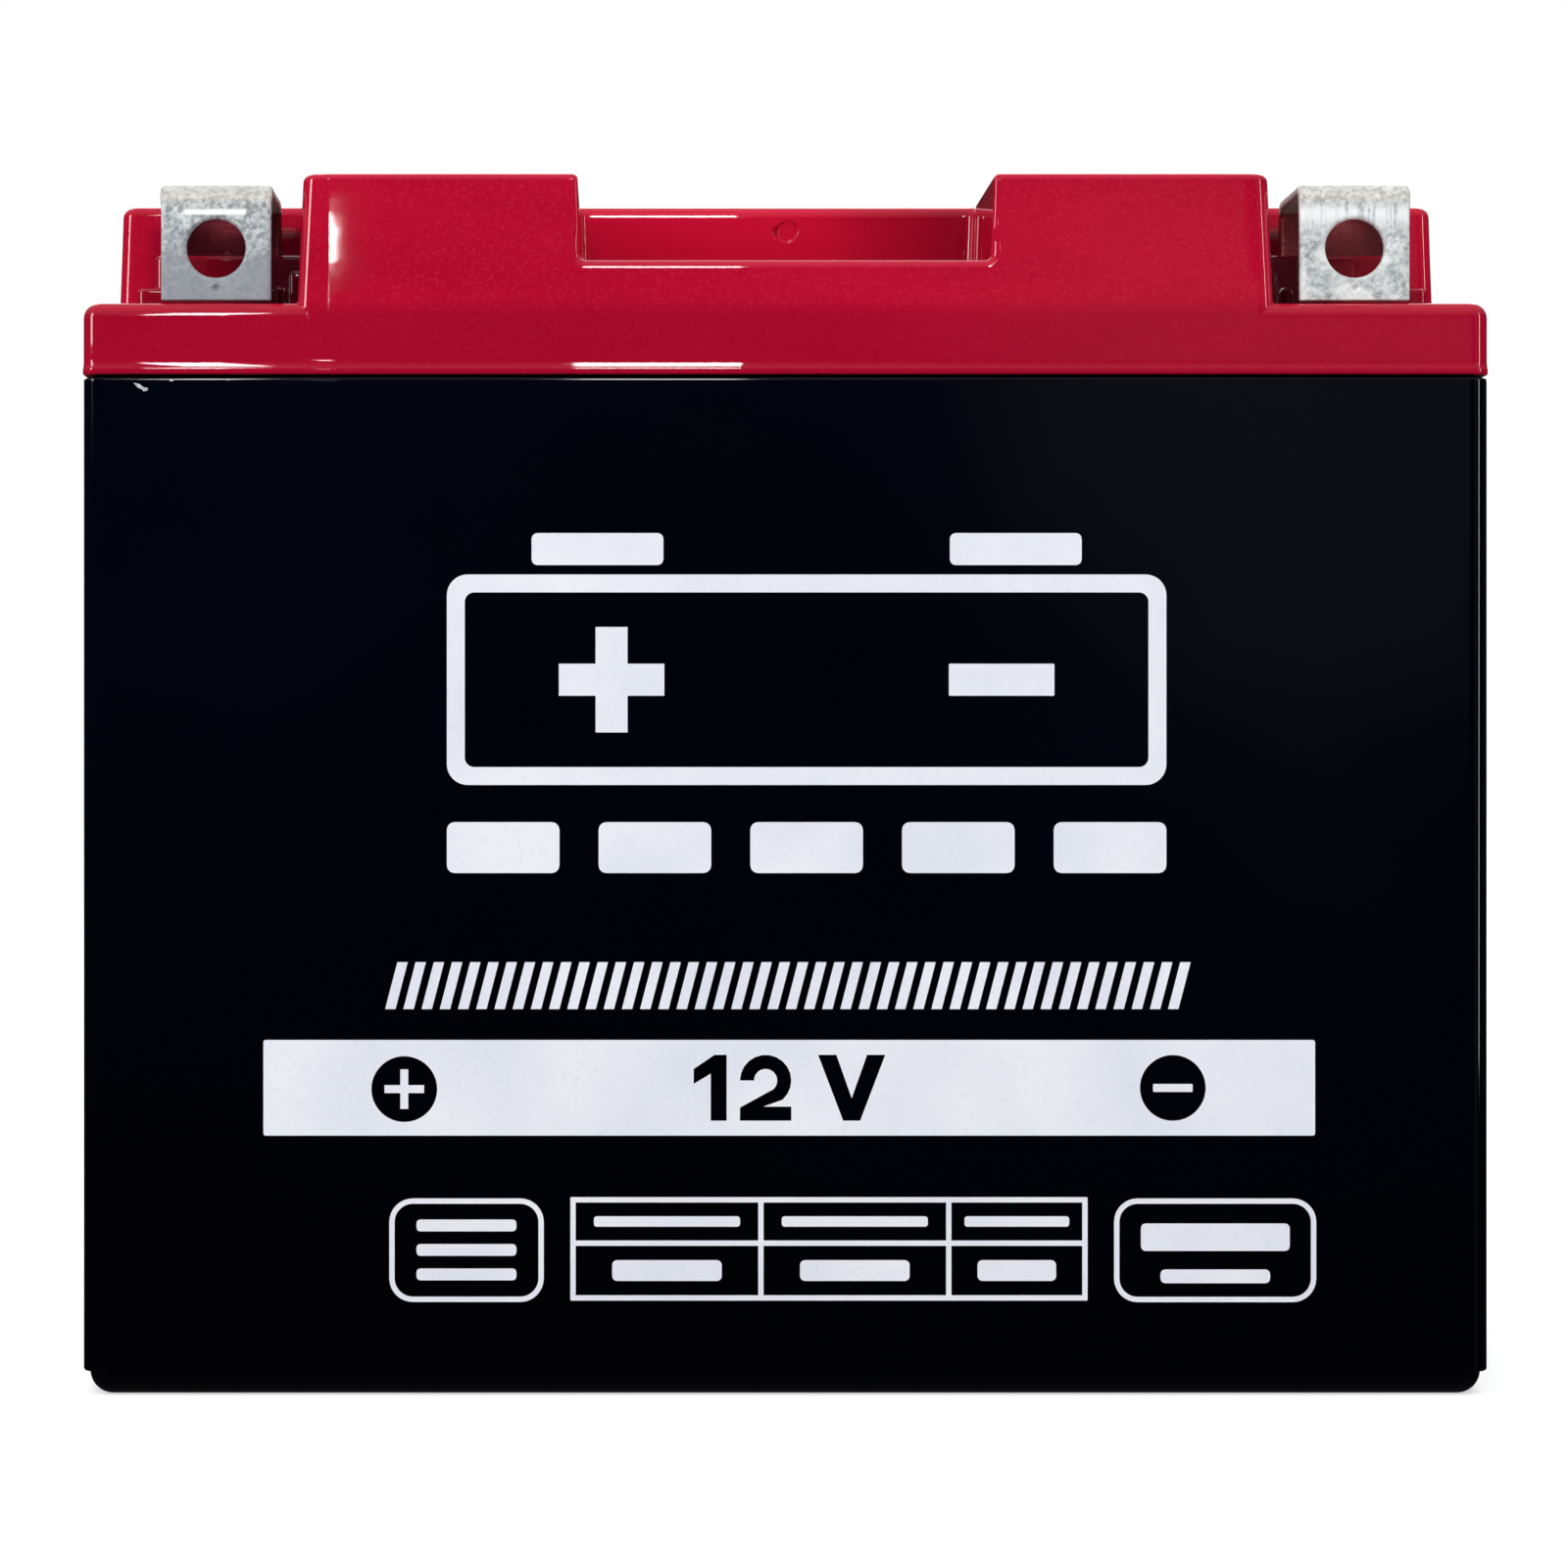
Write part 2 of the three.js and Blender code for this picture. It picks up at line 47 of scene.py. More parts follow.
# ---------------------------------------------------------------- sizes, in millimetres
# Read from the frame where a node's box gives them.
cover_low, cover_high = (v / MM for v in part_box("cover"))
case_low, case_high = (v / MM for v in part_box("case"))
term_low, term_high = (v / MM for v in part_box("negative_terminal"))
lid_low, lid_high = (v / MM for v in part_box("vent_lid"))

HALF_X, HALF_Y = cover_high.x, cover_high.y
TOP = cover_high.z
SEAM = cover_low.z
BAY = 116.3
NOTCH = 120.8
CASE_TOP, RIM_TOP, CEILING = 108.3, case_high.z, 112.3
PLATEAU_FRONT = -10.8
TX = (term_low.x + term_high.x) / 2
CELLS = [
    sum(v.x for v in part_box("valve_cap_%d" % (k + 1))) / 2 / MM for k in range(6)
]
PITCH = (CELLS[5] - CELLS[0]) / 5
CELL_W = PITCH - 1.5
VALVE_Y = (lid_low.y + lid_high.y) / 2
CASE_X, CASE_Y = case_high.x, case_high.y
RIM_X, RIM_Y = 73.6, 33.1
INNER_X, INNER_Y = CASE_X - 2.7, CASE_Y - 2.7


# ---------------------------------------------------------------- distance functions
def length(*v):
    return np.sqrt(sum(a * a for a in v))


def rect(x, y, x0, x1, y0, y1, r):
    """Signed distance to a rounded rectangle."""
    qx = np.abs(x - (x0 + x1) / 2) - (x1 - x0) / 2 + r
    qy = np.abs(y - (y0 + y1) / 2) - (y1 - y0) / 2 + r
    return (
        length(np.maximum(qx, 0), np.maximum(qy, 0))
        + np.minimum(np.maximum(qx, qy), 0)
        - r
    )


def both(a, b, r=0.0):
    """Intersection with a rounded edge."""
    return np.minimum(-r, np.maximum(a, b)) + length(
        np.maximum(a + r, 0), np.maximum(b + r, 0)
    )


def either(a, b, r=0.0):
    """Union with a fillet."""
    return np.maximum(r, np.minimum(a, b)) - length(
        np.maximum(r - a, 0), np.maximum(r - b, 0)
    )


def without(a, b, r=0.0):
    return both(a, -b, r)


def plain(a, b):
    return np.minimum(a, b)


def smooth(t):
    t = np.clip(t, 0, 1)
    return t * t * (3 - 2 * t)


def slab(z, z0, z1):
    return np.abs(z - (z0 + z1) / 2) - (z1 - z0) / 2


def cell_coord(x):
    """x measured from the middle of the nearest cell."""
    k = np.clip(np.round(x / PITCH + 2.5), 0, 5)
    return x - (k - 2.5) * PITCH


# ---------------------------------------------------------------- distance function to mesh
def ticks(low, high, coarse, *fine):
    """Grid lines from low to high: coarse steps, and finer ones in each (from, to, step)."""
    marks = [low]
    p = low
    while p < high - 1e-6:
        step = coarse
        for a, b, s in fine:
            if a - 1e-6 <= p < b - 1e-6:
                step = min(step, s)
        nxt = p + step
        for a, _, s in fine:
            if p + 1e-6 < a < nxt and s < step:
                nxt = a
        p = min(nxt, high)
        marks.append(p)
    return np.array(marks)


def both_sides(*fine):
    return [*fine, *[(-b, -a, s) for a, b, s in fine]]


def surface(f, xs, ys, zs):
    """Quads on the zero level of f, one vertex per crossed grid cell, moved on to the surface."""
    d = f(xs[:, None, None], ys[None, :, None], zs[None, None, :])
    d = np.array(np.broadcast_to(d, (len(xs), len(ys), len(zs))), dtype=np.float64)
    d[np.abs(d) < 1e-7] = 1e-7
    inside = d < 0
    c = inside.astype(np.int8)
    total = sum(
        c[i : len(xs) - 1 + i, j : len(ys) - 1 + j, k : len(zs) - 1 + k]
        for i in (0, 1)
        for j in (0, 1)
        for k in (0, 1)
    )
    cells = np.argwhere((total > 0) & (total < 8))
    index = -np.ones(total.shape, np.int64)
    index[tuple(cells.T)] = np.arange(len(cells))
    corners = [(i, j, k) for i in (0, 1) for j in (0, 1) for k in (0, 1)]
    grid = (xs, ys, zs)
    value = {o: d[cells[:, 0] + o[0], cells[:, 1] + o[1], cells[:, 2] + o[2]] for o in corners}
    place = {
        o: np.stack([grid[a][cells[:, a] + o[a]] for a in range(3)], 1) for o in corners
    }
    summed = np.zeros((len(cells), 3))
    count = np.zeros(len(cells))
    for i, a in enumerate(corners):
        for b in corners[i + 1 :]:
            if sum(p != q for p, q in zip(a, b)) != 1:
                continue
            va, vb = value[a], value[b]
            cross = (va < 0) != (vb < 0)
            t = np.where(cross, va / np.where(cross, va - vb, 1), 0)[:, None]
            summed += np.where(cross[:, None], place[a] + t * (place[b] - place[a]), 0)
            count += cross
    v = summed / count[:, None]
    low = np.stack([grid[a][cells[:, a]] for a in range(3)], 1)
    high = np.stack([grid[a][cells[:, a] + 1] for a in range(3)], 1)

    def gradient(p, h=0.02):
        g = np.zeros_like(p)
        for a in range(3):
            e = np.zeros(3)
            e[a] = h
            hi, lo = p + e, p - e
            g[:, a] = (
                f(hi[:, 0], hi[:, 1], hi[:, 2]) - f(lo[:, 0], lo[:, 1], lo[:, 2])
            ) / (2 * h)
        return g

    for _ in range(4):
        g = gradient(v)
        n2 = np.maximum((g * g).sum(1), 0.05)
        v = v - (f(v[:, 0], v[:, 1], v[:, 2]) / n2)[:, None] * g
        v = np.clip(v, low, high)
    g = gradient(v)
    normals = g / np.maximum(np.linalg.norm(g, axis=1), 1e-9)[:, None]

    quads = []
    for axis in range(3):
        a = np.take(inside, range(0, d.shape[axis] - 1), axis)
        b = np.take(inside, range(1, d.shape[axis]), axis)
        u, w = [q for q in range(3) if q != axis]
        e = np.argwhere(a != b)
        e = e[(e[:, u] > 0) & (e[:, w] > 0) & (e[:, u] < d.shape[u] - 1) & (e[:, w] < d.shape[w] - 1)]
        flip = a[tuple(e.T)]

        def at(du, dw):
            q = e.copy()
            q[:, u] -= du
            q[:, w] -= dw
            return index[tuple(q.T)]

        quad = np.stack([at(1, 1), at(0, 1), at(0, 0), at(1, 0)], 1)
        turn = flip if axis != 1 else ~flip
        quad = np.where(turn[:, None], quad, quad[:, ::-1])
        quads.append(quad)
    return v * MM, np.concatenate(quads), normals


def piece(name, f, xs, ys, zs, material, node):
    v, quads, normals = surface(f, xs, ys, zs)
    mesh = bpy.data.meshes.new(name)
    mesh.from_pydata(v.tolist(), [], quads.tolist())
    mesh.polygons.foreach_set("use_smooth", [True] * len(mesh.polygons))
    mesh.update()
    mesh.normals_split_custom_set_from_vertices(normals.tolist())
    mesh.materials.append(material)
    o = bpy.data.objects.new(name, mesh)
    bpy.context.scene.collection.objects.link(o)
    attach(o, "battery")
    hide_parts(node)
    return o


# ---------------------------------------------------------------- materials
def srgb(r, g, b):
    def one(c):
        c /= 255
        return c / 12.92 if c <= 0.04045 else ((c + 0.055) / 1.055) ** 2.4

    return one(r), one(g), one(b), 1.0


class Nodes:
    """A Principled material with a few short ways of adding procedural detail."""

    def __init__(self, name, **sockets):
        self.material = bpy.data.materials.new(name)
        self.material.use_nodes = True
        self.tree = self.material.node_tree
        self.shader = self.tree.nodes["Principled BSDF"]
        for key, val in sockets.items():
            self.shader.inputs[key.replace("_", " ")].default_value = val
        self.coord = self.tree.nodes.new("ShaderNodeTexCoord").outputs["Object"]

    def link(self, a, b):
        self.tree.links.new(a, b)

    def scaled(self, scale):
        m = self.tree.nodes.new("ShaderNodeMapping")
        m.inputs["Scale"].default_value = scale
        self.link(self.coord, m.inputs["Vector"])
        return m.outputs["Vector"]

    def noise(self, scale, detail=2.0, rough=0.5, stretch=(1, 1, 1), distort=0.0):
        n = self.tree.nodes.new("ShaderNodeTexNoise")
        n.inputs["Scale"].default_value = scale
        n.inputs["Detail"].default_value = detail
        n.inputs["Roughness"].default_value = rough
        n.inputs["Distortion"].default_value = distort
        self.link(self.scaled(stretch), n.inputs["Vector"])
        return n.outputs["Fac"]

    def cells(self, scale, feature="F1", stretch=(1, 1, 1), random=1.0):
        n = self.tree.nodes.new("ShaderNodeTexVoronoi")
        n.feature = feature
        n.inputs["Scale"].default_value = scale
        n.inputs["Randomness"].default_value = random
        self.link(self.scaled(stretch), n.inputs["Vector"])
        return n.outputs["Distance"]

    def ramp(self, value, *stops, kind="LINEAR"):
        r = self.tree.nodes.new("ShaderNodeValToRGB")
        r.color_ramp.interpolation = kind
        while len(r.color_ramp.elements) < len(stops):
            r.color_ramp.elements.new(0.5)
        for e, (pos, col) in zip(r.color_ramp.elements, stops):
            e.position = pos
            e.color = col if hasattr(col, "__len__") else (col, col, col, 1)
        self.link(value, r.inputs["Fac"])
        return r.outputs["Color"]

    def span(self, value, a, b, c, d):
        m = self.tree.nodes.new("ShaderNodeMapRange")
        for key, val in zip(("From Min", "From Max", "To Min", "To Max"), (a, b, c, d)):
            m.inputs[key].default_value = val
        self.link(value, m.inputs["Value"])
        return m.outputs["Result"]

    def math(self, op, a, b):
        m = self.tree.nodes.new("ShaderNodeMath")
        m.operation = op
        for i, val in enumerate((a, b)):
            if isinstance(val, (int, float)):
                m.inputs[i].default_value = val
            else:
                self.link(val, m.inputs[i])
        return m.outputs["Value"]

    def mix(self, fac, a, b, kind="MIX"):
        m = self.tree.nodes.new("ShaderNodeMix")
        m.data_type = "RGBA"
        m.blend_type = kind
        for sock, val in ((m.inputs[0], fac), (m.inputs[6], a), (m.inputs[7], b)):
            if isinstance(val, (int, float)) or isinstance(val, tuple):
                sock.default_value = val
            else:
                self.link(val, sock)
        return m.outputs[2]

    def bump(self, *layers):
        """layers are (height, strength, distance in metres)."""
        normal = None
        for height, strength, distance in layers:
            b = self.tree.nodes.new("ShaderNodeBump")
            b.inputs["Strength"].default_value = strength
            b.inputs["Distance"].default_value = distance
            self.link(height, b.inputs["Height"])
            if normal:
                self.link(normal, b.inputs["Normal"])
            normal = b.outputs["Normal"]
        self.link(normal, self.shader.inputs["Normal"])

    def base(self, value):
        self.link(value, self.shader.inputs["Base Color"])

    def rough(self, value):
        self.link(value, self.shader.inputs["Roughness"])


def red_plastic():
    m = Nodes("cover_red", IOR=1.5)
    broad = m.noise(28, 3, 0.55)
    flow = m.noise(55, 4, 0.6, (0.35, 1, 1.6), 0.6)
    speck = m.noise(2600, 2, 0.5)
    deep, mid, light = srgb(156, 3, 34), srgb(172, 8, 42), srgb(182, 13, 47)
    col = m.mix(m.span(broad, 0.35, 0.65, 0, 1), mid, light)
    col = m.mix(m.span(flow, 0.45, 0.75, 0, 0.5), col, deep)
    col = m.mix(m.span(speck, 0.5, 0.8, 0, 0.35), col, srgb(206, 46, 72))
    # painted shade: the skirt below the blocks is painted a deeper red than the blocks, standing in for the lower
    # skirt catching less light
    where = m.tree.nodes.new("ShaderNodeSeparateXYZ")
    m.link(m.coord, where.inputs["Vector"])
    col = m.mix(m.span(where.outputs["Z"], 0.1150, 0.1166, 0.5, 0), col, srgb(140, 5, 36))
    # painted shade: the corners of the bays next to the blocks are painted near black, where the blocks shade them
    ax = m.math("ABSOLUTE", where.outputs["X"], 0)
    Y, Z = where.outputs["Y"], where.outputs["Z"]
    painted_bay_shade = m.math("MULTIPLY", m.span(ax, 0.0508, 0.0518, 0, 1), m.span(ax, 0.0560, 0.0640, 1, 0.35))
    painted_bay_shade = m.math("MULTIPLY", painted_bay_shade, m.span(ax, 0.0695, 0.0712, 1, 0))
    painted_bay_shade = m.math("MULTIPLY", painted_bay_shade, m.span(Y, -0.0334, -0.0320, 0, 1))
    painted_bay_shade = m.math("MULTIPLY", painted_bay_shade, m.span(Y, -0.0104, -0.0098, 1, 0))
    painted_bay_shade = m.math("MULTIPLY", painted_bay_shade, m.span(Z, 0.1158, 0.1168, 0, 0.95))
    painted_bay_shade = m.math("MULTIPLY", painted_bay_shade, m.span(Z, 0.1268, 0.1280, 1, 0))
    col = m.mix(painted_bay_shade, col, srgb(62, 0, 14))
    # painted light and painted shade: the wall behind the notch is painted a brighter red where it is lit, and
    # darker towards its shaded right end
    wall = m.math("MULTIPLY", m.span(ax, 0.0212, 0.0222, 1, 0), m.span(Y, -0.0122, -0.0112, 0, 1))
    wall = m.math("MULTIPLY", wall, m.span(Y, -0.0106, -0.0102, 1, 0))
    lit = m.math("MULTIPLY", m.span(Z, 0.1212, 0.1290, 0.2, 0.75), m.span(where.outputs["X"], 0.0, 0.010, 1, 0))
    col = m.mix(m.math("MULTIPLY", wall, lit), col, srgb(206, 18, 58))
    shaded = m.span(where.outputs["X"], 0.006, 0.019, 0, 0.6)
    col = m.mix(m.math("MULTIPLY", wall, shaded), col, srgb(112, 2, 28))
    m.base(col)
    m.rough(m.span(m.noise(90, 3), 0.3, 0.7, 0.01, 0.03))
    m.bump(
        (m.noise(60, 2, 0.4), 0.3, 0.00006),
        (m.noise(650, 1, 0.4, (0.3, 1, 1), 0.3), 0.5, 0.0000055),
        (speck, 0.05, 0.000001),
    )
    return m.material


def black_plastic():
    m = Nodes("case_black", IOR=1.46, Specular_IOR_Level=0.4)
    broad = m.noise(16, 3, 0.5)
    speck = m.noise(3200, 2, 0.5)
    col = m.mix(m.span(broad, 0.35, 0.68, 0, 1), srgb(1, 2, 9), srgb(2, 5, 17))
    col = m.mix(m.span(speck, 0.64, 0.8, 0, 0.4), col, srgb(12, 16, 28))
    where = m.tree.nodes.new("ShaderNodeSeparateXYZ")
    m.link(m.coord, where.inputs["Vector"])
    # painted reflection: the case's blue tint fades to a darker, neutral black towards the foot
    col = m.mix(m.span(where.outputs["Z"], 0.012, 0.085, 0.85, 0), col, srgb(1, 1, 3))
    m.base(col)
    m.rough(m.span(m.noise(60, 4), 0.3, 0.7, 0.03, 0.08))
    m.bump(
        (m.noise(30, 2, 0.4), 0.3, 0.00012),
        (m.noise(180, 2, 0.5), 0.08, 0.00002),
        (speck, 0.05, 0.000006),
    )
    return m.material


def terminal_metal():
    m = Nodes("terminal_metal")
    where = m.tree.nodes.new("ShaderNodeSeparateXYZ")
    m.link(m.coord, where.inputs["Vector"])
    blotch = m.noise(420, 5, 0.65, distort=0.8)
    broad = m.noise(130, 3, 0.6)
    fine = m.noise(1800, 4, 0.6)
    pits = m.cells(1500, "F1")
    drawn = m.noise(1500, 3, 0.6, (1, 0.08, 0.05))
    # the negative terminal is brushed under its bend
    brushed = m.math(
        "MULTIPLY",
        m.span(where.outputs["X"], 0.0, 0.002, 0, 1),
        m.span(where.outputs["Z"], 0.1228, 0.1256, 0, 1),
    )
    brushed = m.math("MULTIPLY", brushed, m.span(where.outputs["Z"], 0.1262, 0.1274, 1, 0))
    lines = m.math("MULTIPLY", brushed, m.span(drawn, 0.30, 0.50, 0, 1))
    # painted reflection and painted shade: inside the folded strip the tin is painted a dark red-brown, standing
    # in for the red plastic it reflects; it is also more metallic and less rough there
    inside = m.math(
        "MULTIPLY",
        m.span(where.outputs["Y"], -0.0312, -0.0304, 0, 1),
        m.span(where.outputs["Z"], 0.1276, 0.1280, 1, 0),
    )
    col = m.mix(m.span(blotch, 0.35, 0.65, 0, 1), srgb(190, 198, 200), srgb(240, 244, 243))
    col = m.mix(m.span(broad, 0.42, 0.68, 0, 0.5), col, srgb(166, 172, 178))
    col = m.mix(m.span(fine, 0.42, 0.60, 0, 0.85), col, srgb(128, 134, 140))
    col = m.mix(m.ramp(pits, (0.0, 0.6), (0.16, 0.0)), col, srgb(132, 137, 142))
    col = m.mix(lines, col, srgb(252, 254, 254))
    # painted shade: the positive terminal is painted darker towards the bottom of its front plate
    painted_low_shade = m.math(
        "MULTIPLY",
        m.span(where.outputs["X"], 0.0, -0.002, 0, 0.85),
        m.span(where.outputs["Z"], 0.1252, 0.1195, 0.1, 1),
    )
    col = m.mix(painted_low_shade, col, srgb(146, 150, 158))
    pale = m.math(
        "MULTIPLY",
        m.span(where.outputs["X"], 0.0, 0.002, 0, 1),
        m.span(where.outputs["Z"], 0.1235, 0.1215, 0, 1),
    )
    pale = m.math("MULTIPLY", pale, m.span(blotch, 0.40, 0.60, 0.1, 0.7))
    col = m.mix(pale, col, srgb(250, 253, 250))
    # a bright press mark under the positive terminal's bend
    mark = m.math(
        "MULTIPLY",
        m.span(m.math("ABSOLUTE", m.math("ADD", where.outputs["X"], 0.06085), 0), 0.0031, 0.0034, 1, 0),
        m.span(m.math("ABSOLUTE", m.math("ADD", where.outputs["Z"], -0.12605), 0), 0.0002, 0.0004, 1, 0),
    )
    col = m.mix(mark, col, srgb(250, 252, 252))
    # painted reflection: the tops of the bends are painted a warm beige
    warm = m.span(where.outputs["Z"], 0.1268, 0.1276, 0, 0.4)
    col = m.mix(warm, col, srgb(226, 214, 196))
    painted_red_reflection = m.mix(m.span(where.outputs["X"], 0.0, 0.002, 0, 1), srgb(128, 46, 58), srgb(176, 86, 92))
    col = m.mix(inside, col, painted_red_reflection)
    m.base(col)
    m.link(m.span(inside, 0, 1, 0.3, 0.9), m.shader.inputs["Metallic"])
    m.rough(
        m.math("SUBTRACT", m.span(blotch, 0.3, 0.7, 0.44, 0.6), m.math("MULTIPLY", inside, 0.25))
    )
    m.bump(
        (blotch, 0.4, 0.00010),
        (fine, 0.3, 0.00003),
        (m.ramp(pits, (0.0, 0.0), (0.2, 1.0)), 0.2, 0.00003),
    )
    return m.material


def ink():
    m = Nodes("ink_white", IOR=1.45, Roughness=0.4)
    grain = m.noise(1500, 3, 0.6)
    broad = m.noise(60, 2, 0.5)
    col = m.mix(m.span(broad, 0.35, 0.65, 0, 1), srgb(222, 225, 235), srgb(233, 235, 242))
    col = m.mix(m.span(grain, 0.55, 0.8, 0, 0.4), col, srgb(205, 209, 222))
    m.base(col)
    m.rough(m.span(grain, 0.3, 0.7, 0.34, 0.5))
    m.bump((grain, 0.15, 0.00003))
    return m.material


def rubber():
    m = Nodes("rubber_black", IOR=1.45)
    grain = m.noise(2200, 4, 0.6)
    m.base(m.mix(m.span(grain, 0.35, 0.7, 0, 1), srgb(20, 20, 21), srgb(38, 38, 40)))
    m.rough(m.span(grain, 0.3, 0.7, 0.6, 0.85))
    m.bump((grain, 0.3, 0.00004))
    return m.material


def lead(name, dark, light):
    m = Nodes(name, Metallic=0.9)
    cast = m.noise(300, 5, 0.65)
    fine = m.noise(2200, 3, 0.6)
    col = m.mix(m.span(cast, 0.35, 0.65, 0, 1), dark, light)
    m.base(m.mix(m.span(fine, 0.55, 0.8, 0, 0.4), col, srgb(175, 178, 180)))
    m.rough(m.span(cast, 0.3, 0.7, 0.5, 0.72))
    m.bump((cast, 0.4, 0.0002), (fine, 0.2, 0.00004))
    return m.material


def plate(name, dark, light):
    m = Nodes(name, IOR=1.5)
    grid = m.cells(260, "DISTANCE_TO_EDGE", (1, 1, 0.55), 0.0)
    lines = m.ramp(grid, (0.0, 1.0), (0.1, 0.0))
    paste = m.noise(900, 5, 0.65)
    col = m.mix(m.span(paste, 0.35, 0.65, 0, 1), dark, light)
    m.base(m.mix(lines, col, srgb(128, 130, 132)))
    m.rough(m.span(paste, 0.3, 0.7, 0.75, 0.95))
    m.bump((paste, 0.4, 0.0001), (lines, 0.4, 0.0002))
    return m.material


def felt():
    m = Nodes("glass_mat", IOR=1.45, Roughness=0.95)
    fibre = m.noise(1600, 6, 0.7, (1, 1, 0.25), 1.5)
    m.base(m.mix(m.span(fibre, 0.35, 0.7, 0, 1), srgb(222, 224, 219), srgb(246, 247, 244)))
    m.rough(m.span(fibre, 0.3, 0.7, 0.85, 1.0))
    m.bump((fibre, 0.5, 0.00008))
    return m.material


def sinter():
    m = Nodes("filter_white", IOR=1.45)
    grains = m.cells(3000, "F1")
    m.base(m.ramp(grains, (0.0, srgb(236, 233, 224)), (0.6, srgb(196, 192, 180))))
    m.rough(m.span(grains, 0.0, 0.7, 0.75, 0.95))
    m.bump((grains, 0.6, 0.0001))
    return m.material


def resin(name, dark, light):
    m = Nodes(name, IOR=1.52)
    swirl = m.noise(240, 3, 0.5, distort=1.0)
    bubble = m.cells(1400, "F1")
    m.base(m.mix(m.span(swirl, 0.35, 0.65, 0, 1), dark, light))
    m.rough(m.span(swirl, 0.3, 0.7, 0.12, 0.3))
    m.bump(
        (swirl, 0.5, 0.0003),
        (m.ramp(bubble, (0.0, 0.0), (0.08, 1.0)), 0.15, 0.00005),
    )
    return m.material


RED, BLACK, METAL, INK = red_plastic(), black_plastic(), terminal_metal(), ink()
RUBBER, FELT, SINTER = rubber(), felt(), sinter()
LEAD = lead("lead_grey", srgb(112, 115, 118), srgb(148, 151, 154))
POSITIVE = plate("positive_plate", srgb(52, 32, 25), srgb(86, 56, 44))
NEGATIVE = plate("negative_plate", srgb(98, 101, 104), srgb(134, 137, 140))
RED_RESIN = resin("resin_red", srgb(110, 8, 20), srgb(150, 16, 30))
BLACK_RESIN = resin("resin_black", srgb(14, 14, 15), srgb(34, 34, 36))


def dress(node, material):
    o = NODES[node]
    o.data.materials.clear()
    o.data.materials.append(material)
    return o


for name in NODES:
    if name.startswith("positive_plates"):
        dress(name, POSITIVE)
    elif name.startswith("negative_plates"):
        dress(name, NEGATIVE)
    elif name.startswith("glass_mat"):
        dress(name, FELT)
    elif name.startswith("cell_link") or name in ("positive_post", "negative_post"):
        dress(name, LEAD)
    elif name.startswith("valve_cap") or name.endswith("post_seal"):
        dress(name, RUBBER)
dress("flame_filter", SINTER)
dress("positive_resin_seal", RED_RESIN)
dress("negative_resin_seal", BLACK_RESIN)


